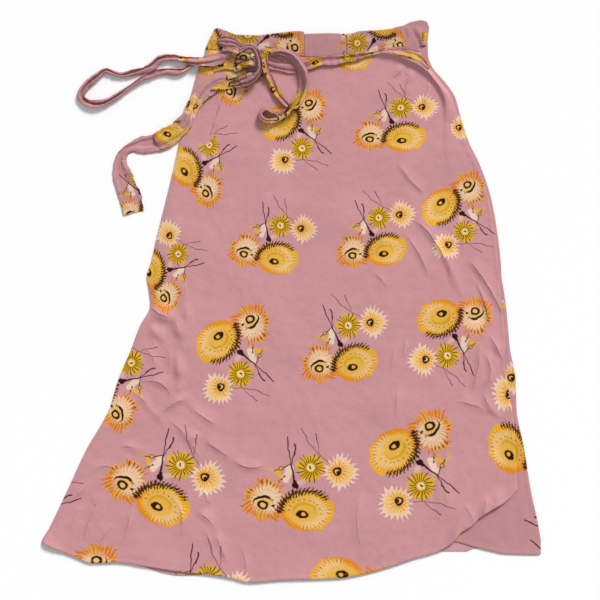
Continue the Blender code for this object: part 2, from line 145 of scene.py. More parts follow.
ROLLED_EDGE = (
    (-60, 335, 8.8, 3.5, 0), (-66, 330.5, 8.6, 4, 0), (-72, 326, 8.2, 4, 0), (-80, 323.8, 7.8, 3.8, 0), (-90, 325.2, 7.4, 3.6, 0),
    (-98, 325.5, 7.0, 3.0, 0), (-105, 324, 6.2, 2.4, 0),
)
LOW_FOLD = ((-40, 318, 5, 10, 0), (-52, 315, 5.5, 13, 0), (-64, 310, 5.5, 13, 0), (-76, 306, 5.2, 10, 0), (-86, 304, 4.6, 6, 0))
STRAP_WIDTH = 31.0

# Creases of the over front: start, middle and end of the crest, width of the side in shade, width of the lit side,
# height.
CREASES = (
    (148, 194, 169, 166, 186, 153, 5, 12, 1.6), (173, 112, 203, 80, 242, 3, 6, 16, 3.2),
    (156, 97, 179, 65, 191, 33, 5, 12, 1.8), (225, 55, 222, 33, 239, 7, 4, 9, 1.6),
    (250, 56, 273, 24, 296, -19, 6, 14, 3), (259, 27, 270, -2, 278, -33, 5, 12, 2.8),
    (278, -47, 288, -67, 296, -82, 5, 10, 2.2), (264, -61, 261, -91, 253, -127, 6, 12, 2.2),
    (270, -71, 278, -99, 267, -121, 5, 10, 2.4), (267, -121, 277, -148, 294, -163, 5, 10, 2.4),
    (229, -141, 253, -144, 278, -156, 8, 14, 1.9), (159, -49, 158, -65, 154, -81, 4, 8, 1.2),
    (144, -64, 142, -79, 138, -96, 4, 8, 1), (149, -116, 147, -140, 145, -163, 4, 9, 1),
    (114, 42, 126, 30, 135, 19, 4, 9, 1), (218, -198, 214, -245, 218, -284, 4, 10, 1.4),
    (135, -345, 128, -354, 121, -362, 4, 8, 1.2), (158, 330, 151, 321, 143, 313, 5, 9, 2.4),
    (172, 322, 163, 306, 159, 288, 5, 10, 2.4), (192, 306, 190, 292, 184, 278, 5, 9, 2),
    (-199, -5, -182, -18, -157, -23, 12, 15, 5.98), (-146, -2, -146, -23, -147, -43, 4, 9, 1.82),
    (-160, -70, -159, -88, -159, -105, 4, 9, 2.08), (-149, -110, -154, -119, -160, -126, 5, 9, 2.34),
    (-209, -113, -184, -114, -167, -134, 5, 12, 2.6), (-187, -163, -159, -140, -142, -145, 5, 13, 3.38),
    (-145, -144, -124, -161, -104, -173, 5, 12, 2.34), (-234, -205, -226, -203, -208, -211, 4, 9, 2.86),
    (-146, -190, -135, -191, -124, -191, 4, 9, 2.08), (-124, -193, -103, -207, -83, -221, 5, 12, 2.34),
    (-83, -221, -61, -232, -38, -229, 4, 10, 3.38), (-125, -263, -119, -278, -136, -292, 5, 10, 2.34),
    (-142, -292, -119, -302, -107, -320, 5, 12, 2.86), (-107, -320, -100, -341, -91, -362, 5, 12, 3.12),
    (-261, -267, -282, -306, -289, -334, 6, 14, 2.34), (-247, -309, -262, -327, -275, -345, 5, 12, 2.08),
    (-191, -30, -194, -48, -190, -66, 8, 10, 2.08), (-181, -32, -182, -43, -181, -55, 6, 8, 1.56),
    (-165, -22, -158, -38, -154, -54, 9, 10, 3.38), (-160, -78, -158, -95, -160, -112, 8, 10, 3.38),
    (-148, 22, -150, -40, -156, -112, 20, 24, 2.86), (-206, -62, -196, -74, -190, -92, 9, 12, 1.82),
    (-176, -60, -170, -78, -172, -98, 9, 12, 1.56), (-222, -128, -205, -140, -196, -158, 8, 12, 1.82),
    (271.7, -272, 271, -284, 268, -297, 5, 8, 1.5), (240, -285, 250, -296, 254, -309, 5, 8, 1.2),
    (204, -232, 208, -262, 204, -292, 8, 14, 1.5), (96, -270, 92, -310, 98, -352, 9, 14, 1.3),
    (-296, -285, -304, -303, -313, -320, 5, 12, 1.82), (-233, -331, -228, -312, -223, -291, 5, 10, 2.0),
    (-173, -165, -146, -190, -127, -224, 5, 12, 2.2), (-222, -215, -207, -211, -194, -222, 4, 9, 1.6),
    (-275, -236, -258, -230, -243, -240, 4, 9, 1.6), (-310, -278, -295, -268, -282, -250, 5, 11, 1.7),
    (-163, -278, -153, -299, -155, -327, 5, 11, 2.0), (-121, -320, -111, -341, -108, -362, 4, 9, 1.8),
    (-205, -150, -190, -158, -176, -178, 5, 10, 1.8), (-72, -341, -64, -362, -67, -380, 4, 9, 1.5),
    (-199, -25, -187, -47, -176, -58, 6, 10, 2.4),
)
# Creases of the under front's strip at the right and its lower corner, in the same columns.
CREASES_UNDER = (
    (318, -287, 325, -300, 331, -322, 4, 10, 0.9), (262, -322, 271, -330, 280, -338, 4, 9, 0.9),
    (300, -300, 305, -318, 306, -338, 4, 9, 0.7), (330, -250, 334, -272, 339, -296, 4, 9, 0.7),
)
# Creases of the back panel, on its hidden side as well.
CREASES_BACK = (
    (-180, 60, -120, 20, -90, -60, 5, 10, 0.35), (60, 200, 90, 120, 150, 90, 5, 10, 0.35),
    (120, -80, 180, -110, 210, -190, 5, 10, 0.35), (-260, -230, -190, -260, -150, -330, 5, 10, 0.35),
    (-40, -140, 20, -190, 30, -280, 5, 10, 0.35), (220, 20, 240, -40, 260, -80, 5, 10, 0.35),
)

# Bunches of the print: place of the calyx x, y, turn in degrees, mirrored, scale across, scale up.
BUNCHES = (
    (140, 251, 8, 1, .84, .72), (14, 239, 220, 1, .82, .80), (-32, 87, -3, 1, .82, .80), (112, 94, 14, 1, .82, .80),
    (239, 123, 225, 1, .84, .82), (229, -49, 195, 1, .88, .93), (-71, -71, 218, 1, .93, .97), (68, -60, 13, 1, .88, .92),
    (180, -225, 220, 1, 1.06, 1.06), (5, -257, -3, 1, 1.07, 1.04), (-184, -245, -22, 1, 1.08, 1.04),
    (-121, 193, -53, -1, .75, .85), (-170, 44, -68, -1, .75, .82), (-237, -112, -66, -1, .90, .95),
    (-358, -292, -64, -1, 1.0, 1.0), (331.7, -186, -35, -1, .86, 1.15), (-69, 326, -83, -1, .75, .75),
    (-127.6, 360.2, 0, 1, .75, .75, -119.5, 319.7, 9.5), (193.4, 226.8, 0, 1, .75, .75, 241, 243.5, 18.5),
    (-302, -408, 202, 1, 1.1, 1.1), (-142, -407, -15, 1, 1.06, 1.04),
    (82, -424, 178, 1, 1.08, 1.08), (71, 365, 0, 1, .80, .70),
)
# Places where the cloth is plain: a stroke from x, y to x, y, and the distance from it, in mm.
PLAIN_OVER = ((-331, -302, -352, -342, 13.5), (-136, 246, -134, 241, 19.5), (-30, 318, 0, 290, 14), (-20, 300, -8, 296, 18), (-108, 262, -121, 228, 9))
BUNCHES_LEFT_BAND = ((-34, 370, 122, 1, .85, .80), (-90, 360, -66, -1, .80, .85))
BUNCHES_MID_BAND = ((90, 400, 10, 1, .80, .80), (62, 312, -30, 1, .70, .70))
BUNCHES_RIGHT_BAND = ((115.5, 364, 135, 1, .75, .75), (215, 385, 30, 1, .75, .75))
# The strip and the corner of the under front, each drawn only near one place: its x, y and how far around it.
BUNCHES_UNDER = (
    (400, 900, 0, 1, 1, 1), (193.4, 226.8, 0, 1, .75, .75, 240, 243, 21), (309, 12, 90, 1, .9, .9, 295, -8, 7), (256, -127, 0, 1, .95, .95, 309, -105, 25),
    (331.7, -186, -35, -1, .86, 1.15, 319, -206, 33), (393.7, -330.8, 58, 1, 1.1, 1.1, 338, -310, 16),
    (393.4, -375.6, 43, 1, 1.1, 1.1, 342, -342, 13), (256, -342, 0, 1, 1, 1, 234, -329, 4),
)
BUNCHES_BACK = tuple((b[0], b[1], b[2] + 40, *b[3:6]) for b in BUNCHES if len(b) == 6)
BUNCHES_CORNER_BAND = ((400, 900, 0, 1, 1, 1), (173.5, 374.6, 60, 1, .75, .75, 188.5, 370, 7))


# ---------------------------------------------------------------------------------------------------------------
# Curves and grids.

def curve(rows, key=0, value=1):
    """A smooth curve through the rows, without overshoot, as a function of an array."""
    pts = sorted((r[key], r[value]) for r in rows)
    xs, ys = np.array([p[0] for p in pts], float), np.array([p[1] for p in pts], float)
    st = np.diff(ys) / np.diff(xs)
    sl = np.array([st[0]] + [0.0 if a * b <= 0 else 2 * a * b / (a + b) for a, b in zip(st, st[1:])] + [st[-1]])

    def at(x):
        x = np.clip(np.asarray(x, float), xs[0], xs[-1])
        i = np.clip(np.searchsorted(xs, x) - 1, 0, len(xs) - 2)
        w = xs[i + 1] - xs[i]
        t = (x - xs[i]) / w
        return (
            (1 + 2 * t) * (1 - t) ** 2 * ys[i] + t * (1 - t) ** 2 * w * sl[i]
            + t * t * (3 - 2 * t) * ys[i + 1] - t * t * (1 - t) * w * sl[i + 1]
        )

    return at


def blended(left, right, top, bottom, u, v):
    """The surface between four edges, each a function that gives (x, y) arrays for 0 to 1."""
    a, b, c, d = (np.stack(f(t), -1) for f, t in ((left, v), (right, v), (top, u), (bottom, u)))
    corner = [np.array([float(w) for w in f(np.float64(t))]) for f, t in ((top, 0), (top, 1), (bottom, 0), (bottom, 1))]
    u, v = u[..., None], v[..., None]
    p = (1 - u) * a + u * b + (1 - v) * c + v * d
    return p - ((1 - u) * (1 - v) * corner[0] + u * (1 - v) * corner[1] + (1 - u) * v * corner[2] + u * v * corner[3])


def spaced(near, far, total, count, close=0.0):
    """Places from 0 to total: the near ones, count steps, and the far ones measured back from the end. The steps are
    even, or closer together at the start by close, or at the end if it is negative."""
    first, last = near[-1], total - far[-1]
    t = np.linspace(0, 1, count + 1)[1:-1]
    inner = first + (last - first) * ((1 - close) * t + close * t * t)
    return np.concatenate([near, inner, [total - f for f in far[::-1]]])


def ramp(x, low, high):
    t = np.clip((x - low) / (high - low), 0, 1)
    return t * t * (3 - 2 * t)


AWAY = np.array([-0.49, -0.87])   # the direction that the light runs in, over the cloth


def crease_height(x, y, rows, lines=False):
    """Height of the creases at each point: uneven crests with a steep side away from the light. With lines, also the
    signed distance to the nearest crest line and how strong it is there."""
    z = np.zeros_like(x)
    near_line, line_d, line_s = np.full(x.shape, 60.0), np.full(x.shape, 60.0), np.zeros_like(x)
    second = np.full(x.shape, 60.0)
    for n, (x0, y0, x1, y1, x2, y2, shade, lit, high) in enumerate(rows):
        reach = 2.6 * max(shade, lit)
        box = (
            (x > min(x0, x1, x2) - reach) & (x < max(x0, x1, x2) + reach)
            & (y > min(y0, y1, y2) - reach) & (y < max(y0, y1, y2) + reach)
        )
        if not box.any():
            continue
        px, py = x[box], y[box]
        t = np.linspace(0, 1, 17)[:, None]
        # a curve that passes through the middle point
        cx, cy = 2 * x1 - (x0 + x2) / 2, 2 * y1 - (y0 + y2) / 2
        qx = (1 - t) ** 2 * x0 + 2 * t * (1 - t) * cx + t * t * x2
        qy = (1 - t) ** 2 * y0 + 2 * t * (1 - t) * cy + t * t * y2
        best = np.full(px.shape, 1e9)
        along = np.zeros_like(px)
        side = np.zeros_like(px)
        for k in range(16):
            ax, ay = qx[k, 0], qy[k, 0]
            dx, dy = qx[k + 1, 0] - ax, qy[k + 1, 0] - ay
            ln = dx * dx + dy * dy
            h = np.clip(((px - ax) * dx + (py - ay) * dy) / ln, 0, 1)
            ex, ey = px - ax - h * dx, py - ay - h * dy
            d = np.hypot(ex, ey)
            nx, ny = -dy, dx
            if nx * AWAY[0] + ny * AWAY[1] < 0:
                nx, ny = -nx, -ny
            better = d < best
            best = np.where(better, d, best)
            along = np.where(better, (k + h) / 16, along)
            side = np.where(better, ex * nx + ey * ny, side)
        # the crest wanders in height along its length
        body = np.sin(np.pi * np.clip(along, 0, 1)) ** 0.7
        body *= 0.82 + 0.18 * np.sin(9 * along + 1.7 * n)
        wide = np.where(side > 0, 0.62 * shade, 0.66 * lit) * (0.75 + 0.35 * np.sin(np.pi * along))
        d = best / wide
        z[box] += 1.1 * high * body * (np.exp(-np.abs(d) ** 1.4) - 0.18 * np.exp(-((d - 1.9) ** 2) * 1.6))
        closer = best < near_line[box]
        second[box] = np.where(closer, near_line[box], np.minimum(second[box], best))
        near_line[box] = np.where(closer, best, near_line[box])
        line_d[box] = np.where(closer, best * np.where(side > 0, 1, -1), line_d[box])
        line_s[box] = np.where(
            closer, min(1.0, 0.25 + high / 4.0) * np.sin(np.pi * along) ** 0.8 * (1 - ramp(best, 5, 8)), line_s[box]
        )
    line_s *= ramp(second - near_line, 6, 11)
    return (z, line_d, line_s) if lines else z


WAVES = [
    (rng.uniform(55, 150), rng.uniform(0, math.tau), rng.uniform(0, math.tau), rng.uniform(0.5, 1.0)) for _ in range(22)
]
RIPPLES = [
    (rng.uniform(14, 34), rng.uniform(0, math.tau), rng.uniform(0, math.tau), rng.uniform(0.5, 1.0)) for _ in range(26)
]


def undulation(x, y, low=0.16, fine=0.022):
    """The slight unevenness of cloth that has been worn and smoothed out by hand."""
    z = np.zeros_like(x)
    for waves, size in ((WAVES, low), (RIPPLES, fine)):
        for wave, turn, phase, part in waves:
            k = math.tau / wave
            z += size * part * np.sin(k * (x * math.cos(turn) + y * math.sin(turn)) + phase + 0.8 * np.sin(k * 0.37 * (x * math.sin(turn) - y * math.cos(turn))))
    return z


# ---------------------------------------------------------------------------------------------------------------
# Meshes.

DRAWING = (   # the discs that one bunch of the print fills: x, y, radius, in drawing units of 1.4 mm
    (-27, -16, 25), (13, -24, 26), (14, 18, 17), (42, 15, 20), (0, 0, 5), (-17, 13, 9), (-3, 20, 4), (-7, 34, 4),
    (-11, 48, 4), (-2, 40, 4), (28, 27, 4), (16, 38, 4), (8, 50, 4), (17, 48, 4), (2, 60, 4),
)
UNIT = 1.4


def local_places(points, bunch):
    """Cloth points in one bunch's own drawing units."""
    x, y, turn, mirror, sx, sy = bunch
    dx, dy = (points[:, 0] - x) / (UNIT * sx), (points[:, 1] - y) / (UNIT * sy)
    c, s = math.cos(math.radians(turn)), math.sin(math.radians(turn))
    return np.stack([mirror * (dx * c + dy * s), -dx * s + dy * c], -1)


def bunch_uv(cloth, faces, bunches, plain=()):
    """The print's coordinates at each face corner: those of the bunch whose drawing is nearest to the face."""
    centres = cloth[faces].mean(1)
    best, pick = np.full(len(faces), 1e9), np.zeros(len(faces), int)
    for n, b in enumerate(bunches):
        p = local_places(centres, b[:6])
        d = np.full(len(faces), 1e9)
        for x, y, r in DRAWING:
            d = np.minimum(d, np.hypot(p[:, 0] - x, p[:, 1] - y) - r)
        d *= (b[4] + b[5]) / 2
        if len(b) > 6:     # drawn only near one place: x, y and the distance
            d = np.where(np.hypot(centres[:, 0] - b[6], centres[:, 1] - b[7]) < b[8], d, 1e8 + n)
        closer = d < best
        best, pick = np.where(closer, d, best), np.where(closer, n, pick)
    for x0, y0, x1, y1, r in plain:
        dx, dy = x1 - x0, y1 - y0
        h = np.clip(((centres[:, 0] - x0) * dx + (centres[:, 1] - y0) * dy) / (dx * dx + dy * dy + 1e-9), 0, 1)
        pick[np.hypot(centres[:, 0] - x0 - h * dx, centres[:, 1] - y0 - h * dy) < r] = -1
    out = np.full((len(faces), 4, 2), 900.0)
    for n, b in enumerate(bunches):
        chosen = np.nonzero(pick == n)[0]
        if len(chosen):
            out[chosen] = local_places(cloth[faces[chosen]].reshape(-1, 2), b[:6]).reshape(-1, 4, 2)
    return out / 100.0


def grid_faces(rows, cols, flip=False):
    j, i = np.meshgrid(np.arange(rows - 1), np.arange(cols - 1), indexing="ij")
    a = (j * cols + i).ravel()
    quads = np.stack([a, a + cols, a + cols + 1, a + 1], -1)
    return quads[:, ::-1] if flip else quads


def shell_data(top, low, cloth, closed_ring=False):
    """Points and faces of a closed thin shell between two grids of points."""
    rows, cols = top.shape[:2]
    n = rows * cols
    points = np.concatenate([top.reshape(-1, 3), low.reshape(-1, 3)])
    flat = np.concatenate([cloth.reshape(-1, 2)] * 2)
    up, down = grid_faces(rows, cols), grid_faces(rows, cols, True) + n
    rim = [i for i in range(cols)] + [j * cols + cols - 1 for j in range(1, rows)]
    rim += [(rows - 1) * cols + i for i in range(cols - 2, -1, -1)] + [j * cols for j in range(rows - 2, 0, -1)]
    rim = np.array(rim)
    nxt = np.roll(rim, -1)
    edge = np.stack([rim, nxt, nxt + n, rim + n], -1)
    faces = np.concatenate([up, down, edge])
    kind = np.concatenate([np.zeros(len(up), int), np.ones(len(down), int), np.zeros(len(edge), int)])
    return points, faces, kind, flat


def merged(parts):
    """Several shells as one mesh's points and faces."""
    points, faces, kinds, flats, base = [], [], [], [], 0
    for p, f, k, c in parts:
        points.append(p)
        faces.append(f + base)
        kinds.append(k)
        flats.append(c)
        base += len(p)
    return np.concatenate(points), np.concatenate(faces), np.concatenate(kinds), np.concatenate(flats)


def build(name, data, bunches, materials, sharp=50, lines=None, plain=()):
    points, faces, kind, flat = data
    mesh = bpy.data.meshes.new(name)
    mesh.vertices.add(len(points))
    mesh.vertices.foreach_set("co", (points * MM).astype(np.float32).ravel())
    mesh.loops.add(faces.size)
    mesh.loops.foreach_set("vertex_index", faces.astype(np.int32).ravel())
    mesh.polygons.add(len(faces))
    mesh.polygons.foreach_set("loop_start", np.arange(0, faces.size, 4, dtype=np.int32))
    mesh.polygons.foreach_set("material_index", kind.astype(np.int32))
    mesh.update(calc_edges=True)
    uv = mesh.uv_layers.new(name="Bunch")
    uv.data.foreach_set("uv", bunch_uv(flat, faces, bunches, plain).astype(np.float32).ravel())
    uv = mesh.uv_layers.new(name="Cloth")
    uv.data.foreach_set("uv", (flat[faces] * MM).astype(np.float32).ravel())
    if lines is not None:
        # signed distance to the nearest crease line, and its strength, for the sharp crest in the material
        marks = np.stack([np.tile(lines[0].ravel() / 100.0, 2), np.tile(lines[1].ravel(), 2)], -1)
        uv = mesh.uv_layers.new(name="Crease")
        uv.data.foreach_set("uv", marks[faces].astype(np.float32).ravel())
    mesh.validate()
    for m in materials:
        mesh.materials.append(m)
    mesh.shade_smooth()
    mesh.set_sharp_from_angle(angle=math.radians(sharp))
    obj = bpy.data.objects.new(name, mesh)
    bpy.context.scene.collection.objects.link(obj)
    return obj


def place(obj, node):
    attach(obj, "root")
    if node:
        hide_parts(node)
    return obj


# ---------------------------------------------------------------------------------------------------------------
# Materials. The print is drawn by arithmetic on the bunch's own coordinates.

def lin(r, g, b):
    """A colour seen on screen as the cloth's own colour."""
    return tuple(0.95 * (((c / 255 + 0.055) / 1.055) ** 2.4 if c > 10 else c / 255 / 12.92) for c in (r, g, b)) + (1.0,)


class Val:
    """A number or a socket, so that node arithmetic reads as arithmetic."""

    def __init__(self, net, s):
        self.net, self.s = net, s

    def _do(self, op, *more, clamp=False):
        return self.net.math(op, self, *more, clamp=clamp)

    def __add__(self, o): return self._do("ADD", o)
    def __radd__(self, o): return self._do("ADD", o)
    def __sub__(self, o): return self._do("SUBTRACT", o)
    def __rsub__(self, o): return self.net.math("SUBTRACT", o, self)
    def __mul__(self, o): return self._do("MULTIPLY", o)
    def __rmul__(self, o): return self._do("MULTIPLY", o)
    def __truediv__(self, o): return self._do("DIVIDE", o)
    def __abs__(self): return self._do("ABSOLUTE")
    def least(self, o): return self._do("MINIMUM", o)
    def most(self, o): return self._do("MAXIMUM", o)
    def cos(self): return self._do("COSINE")
    def sin(self): return self._do("SINE")


class Net:
    def __init__(self, tree):
        self.tree = tree

    def node(self, kind, **settings):
        n = self.tree.nodes.new(kind)
        for k, v in settings.items():
            setattr(n, k, v)
        return n

    def put(self, socket, value):
        if isinstance(value, Val):
            value = value.s
        if isinstance(value, bpy.types.NodeSocket):
            self.tree.links.new(value, socket)
        else:
            socket.default_value = value

    def math(self, op, *values, clamp=False):
        n = self.node("ShaderNodeMath", operation=op, use_clamp=clamp)
        for socket, value in zip(n.inputs, values):
            self.put(socket, value)
        return Val(self, n.outputs[0])

    def vec(self, op, *values, out=0):
        n = self.node("ShaderNodeVectorMath", operation=op)
        for socket, value in zip(n.inputs, values):
            self.put(socket, value)
        return n.outputs[out]

    def below(self, d, soft=1.0):
        """1 where d is well under 0, 0 where it is over."""
        return self.math("MULTIPLY_ADD", d, -1.0 / soft, 0.5, clamp=True)

    def rise(self, d, low, high):
        """0 under low, 1 over high."""
        return self.math("MULTIPLY_ADD", d, 1.0 / (high - low), -low / (high - low), clamp=True)

    def blend(self, under, over, mask):
        n = self.node("ShaderNodeMix", data_type="RGBA")
        self.put(n.inputs[0], mask)
        self.put(n.inputs[6], under)
        self.put(n.inputs[7], over)
        return n.outputs[2]

    def around(self, p, centre, squash=(1, 1)):
        """Radius and angle about a centre."""
        q = self.vec("SUBTRACT", p, (*centre, 0))
        if squash != (1, 1):
            q = self.vec("DIVIDE", q, (squash[0], squash[1], 1))
        r = Val(self, self.vec("LENGTH", q, out=1))
        n = self.node("ShaderNodeSeparateXYZ")
        self.put(n.inputs[0], q)
        x, y = Val(self, n.outputs[0]), Val(self, n.outputs[1])
        return r, self.math("ARCTAN2", y, x), x, y

    def far(self, p, centre):
        return Val(self, self.vec("DISTANCE", p, (*centre, 0), out=1))

    def stroke(self, p, a, b, half):
        """Distance to a straight stroke from a to b, less its half width."""
        bx, by = b[0] - a[0], b[1] - a[1]
        rel = self.vec("SUBTRACT", p, (*a, 0))
        h = self.math("MULTIPLY", Val(self, self.vec("DOT_PRODUCT", rel, (bx, by, 0), out=1)), 1 / (bx * bx + by * by), clamp=True)
        scale = self.node("ShaderNodeVectorMath", operation="SCALE")
        scale.inputs[0].default_value = (bx, by, 0)
        self.put(scale.inputs[3], h)
        return Val(self, self.vec("DISTANCE", rel, scale.outputs[0], out=1)) - half


GROUND = lin(201, 146, 149)
CREAM, SHELL, PALE = lin(236, 208, 176), lin(236, 190, 112), lin(236, 206, 186)
ORANGE, RUST = lin(222, 134, 22), lin(186, 92, 34)
YELLOW, STRAW, PEACH = lin(230, 174, 18), lin(230, 180, 74), lin(228, 176, 112)
MUSTARD, OLIVE = lin(214, 168, 42), lin(200, 156, 44)
INK, WINE, STEM = lin(46, 14, 16), lin(116, 52, 54), lin(84, 40, 50)
BROWN = lin(168, 106, 66)


def print_group():
    """The drawing of one bunch: a cream bloom, a yellow bloom, a spiky flower, a daisy, a bud, stems and a calyx."""
    tree = bpy.data.node_groups.new("floral_print", "ShaderNodeTree")
    tree.interface.new_socket(name="Place", in_out="INPUT", socket_type="NodeSocketVector")
    tree.interface.new_socket(name="Color", in_out="OUTPUT", socket_type="NodeSocketColor")
    g = Net(tree)
    entry, leave = g.node("NodeGroupInput"), g.node("NodeGroupOutput")
    raw = g.vec("MULTIPLY", entry.outputs[0], (100, 100, 0))
    # the hand's unevenness: a slow drift of every line, and a finer raggedness of the edges
    wob = g.node("ShaderNodeTexNoise", noise_dimensions="2D")
    g.put(wob.inputs["Vector"], raw)
    wob.inputs["Scale"].default_value = 0.10
    wob.inputs["Detail"].default_value = 1.0
    shift = g.vec("MULTIPLY_ADD", wob.outputs["Color"], (3.4, 3.4, 0), (-1.7, -1.7, 0))
    p = g.vec("ADD", raw, shift)
    grain = g.node("ShaderNodeTexNoise", noise_dimensions="2D")
    g.put(grain.inputs["Vector"], raw)
    grain.inputs["Scale"].default_value = 0.55
    grain.inputs["Detail"].default_value = 3.0
    rough = Val(g, grain.outputs["Fac"])
    ragged = (rough - 0.5) * 6.0
    turn = (rough - 0.5) * 0.5

    colour = g.blend(GROUND, lin(196, 139, 147), g.rise(rough, 0.45, 0.75) * 0.4)

    def lay(colour, paint, mask):
        return g.blend(colour, paint, mask)

    # the bud and the leaf
    colour = lay(colour, lin(226, 188, 174), g.below(g.stroke(p, (4, 2), (9, 6), 2.4) + ragged * 0.3, 2.0) * 0.6)
    colour = lay(colour, MUSTARD, g.below(g.stroke(p, (-25, 13.8), (-15, 12.5), 1.1) + ragged * 0.2, 1.2))
    colour = lay(colour, YELLOW, g.below(g.stroke(p, (-16, 11), (-12, 5.5), 1.7) + ragged * 0.2, 1.2))
    colour = lay(colour, lin(232, 200, 176), g.below(g.stroke(p, (-5.5, 16), (-8.5, 6), 3.6) + ragged * 0.25, 1.4))
    colour = lay(colour, YELLOW, g.below(g.far(p, (1.5, 20)) - 2.0 + ragged * 0.2, 1.2))
    ring = g.far(p, (-13.5, 15.6))
    colour = lay(colour, YELLOW, g.below(ring - 2.0, 1.2))
    dark = (abs(ring - 2.0) - 0.4).least(g.stroke(p, (-19.5, 12.6), (-15.5, 14.2), 0.45))
    dark = dark.least(g.stroke(p, (-11.5, 16), (-4.6, 20.6), 0.55))
    gap = g.math("MULTIPLY_ADD", rough, 9.0, -4.6)
    dark = dark.least(g.stroke(p, (-19, -1.4), (-9.5, 7.8), 0.8) + gap.most(0))
    # the stems
    dark = dark.least(g.stroke(p, (0.3, 2), (-4.7, 21), 0.85))
    dark = dark.least(g.stroke(p, (-4.7, 21), (-9.8, 46), 0.6))
    dark = dark.least(g.stroke(p, (-4.2, 20), (-1.6, 30), 0.5))
    dark = dark.least(g.stroke(p, (-1.6, 30), (-2.2, 40), 0.65))
    thin = g.stroke(p, (33, 21.5), (22, 29.5), 0.25)
    thin = thin.least(g.stroke(p, (22, 29.5), (11, 40.5), 0.32))
    thin = thin.least(g.stroke(p, (11, 40.5), (3, 55), 0.36))
    thin = thin.least(g.stroke(p, (21.5, 31), (19.6, 41), 0.28))
    thin = thin.least(g.stroke(p, (19.6, 41), (16.4, 50), 0.42))
    colour = lay(colour, STEM, g.below(thin, 0.8))
    colour = lay(colour, INK, g.below(dark, 0.8))

    # the daisy
    r, a, x, y = g.around(p, (42, 15))
    point = 1.0 - abs((a * 10.0 + (a * 3.0).cos() * 0.5 + turn * 2.0 + 0.4).sin())
    colour = lay(colour, PALE, g.below(r - 12.6 - point * 5.4 - (a * 4.0).cos() * 0.9 + ragged * 0.4, 1.3) * 0.96)
    colour = lay(colour, SHELL, g.below(r - 10.2 - point * 4.6 + ragged * 0.6, 2.6) * 0.92)
    r, a, x, y = g.around(p, (39.2, 15.6))
    flame = 1.0 - abs((a * 8.0 + turn * 3.0 + 1.0).sin())
    colour = lay(colour, ORANGE, g.below(r - 4.2 - flame * 7.0 + ragged * 0.5, 0.9) * 0.9)
    colour = lay(colour, lin(216, 172, 76), g.below(r - 4.8, 1.4))
    eye = (abs(r - 3.3) - 0.95).least(g.far(p, (40.4, 14.6)) - 1.9)
    colour = lay(colour, INK, g.below(eye, 0.8))
    colour = lay(colour, PALE, g.below(g.stroke(p, (38.0, 15.4), (39.2, 17.2), 0.35), 0.7) * 0.9)

    # the spiky flower
    r, a, x, y = g.around(p, (14, 17.6))
    phase = a * 10.0 + r * 0.10 + (a * 3.0).sin() * 0.8 + turn * 1.5
    point = 1.0 - abs(phase.cos())
    colour = lay(colour, MUSTARD, g.below(r - 10.2 - abs(phase.sin()) * 4.2 + ragged * 0.4, 1.2))
    colour = lay(colour, YELLOW, g.below(r - 9.6 - abs(phase.sin()) * 2.0 + ragged * 0.8, 1.4) * g.rise(rough, 0.4, 0.6))
    width = abs(phase.cos()) * r * 0.1
    lines = g.below(width - 0.42, 0.55) * g.rise(r, 4.2, 5.6) * g.below(r - 13.2 - (a * 5.0 + 1.0).cos() * 2.0 + ragged * 0.7, 1.0)
    colour = lay(colour, INK, lines * 0.94)
    colour = lay(colour, lin(232, 204, 156), g.below(r - 3.8 + ragged * 0.15, 1.0))
    colour = lay(colour, INK, g.below(g.stroke(p, (13.6, 18.9), (14.3, 16.8), 0.8), 0.8))

    # the yellow bloom
    r, a, x, y = g.around(p, (13, -24), (25.5, 20.2))
    fibre = (a * 44.0 + r * 7.0 + turn * 12.0).cos()
    edge = r - 0.975 + ragged * 0.016 - fibre * 0.016 + (a * 4.0 + 1.0).cos() * 0.02 + (a * 9.0).cos() * 0.014
    body = g.below(edge, 0.05)
    # a cream and peach middle, hatched with orange, inside a rim that is orange above and yellow below
    hatch = g.below(0.1 - (a * 34.0 - r * 9.0 + turn * 8.0).cos(), 0.8)
    fine = g.below(0.2 - (a * 57.0 + r * 6.0 + turn * 14.0).cos(), 0.7)
    bloom = g.blend(lin(228, 184, 92), lin(236, 204, 150), g.rise(r, 0.3, 0.55) * g.rise((a + 0.3).cos() + rough * 1.2, 0.1, 1.0) * 0.9)
    bloom = g.blend(bloom, lin(214, 146, 56), fine * g.rise(r, 0.34, 0.5) * g.rise(rough, 0.35, 0.6) * 0.7)
    bloom = g.blend(bloom, PEACH, g.rise((a * 2.0 - 0.5).cos() + rough * 1.2, 0.3, 1.2) * g.rise(r, 0.5, 0.7) * 0.6)
    ring_r, ring_a, rx, ry = g.around(p, (10, -26), (11.5, 9.5))
    bloom = g.blend(bloom, YELLOW, g.rise(r + fibre * 0.07 + ragged * 0.02, 0.70, 0.80) * 0.85)
    bloom = g.blend(bloom, YELLOW, g.rise((a - 0.45).cos() * 0.30 + r + fibre * 0.03, 1.0, 1.12))
    bloom = g.blend(bloom, YELLOW, g.rise((a - 3.4).cos() * 0.25 + r + fibre * 0.03, 1.02, 1.18) * 0.9)
    bloom = g.blend(bloom, ORANGE, g.rise((a + 2.3).cos() * 0.30 + r + fibre * 0.07 + ragged * 0.02, 1.02, 1.16) * 0.9)
    bloom = g.blend(bloom, CREAM, hatch * g.rise(r, 0.60, 0.70) * g.below(r - 0.86, 0.08) * g.rise((a + 0.7).cos(), 0.2, 0.7) * 0.6)
    bloom = g.blend(bloom, lin(186, 112, 40), (1.0 - hatch) * g.rise(r, 0.66, 0.74) * g.below(r - 0.86 + ragged * 0.04, 0.1) * g.rise((a + 0.8).cos() + rough - 0.5, 0.2, 0.6) * g.rise(rough, 0.36, 0.5) * 0.7)
    bloom = g.blend(bloom, lin(226, 178, 66), g.below(ring_r - 0.98 + ragged * 0.04, 0.3) * 0.6)
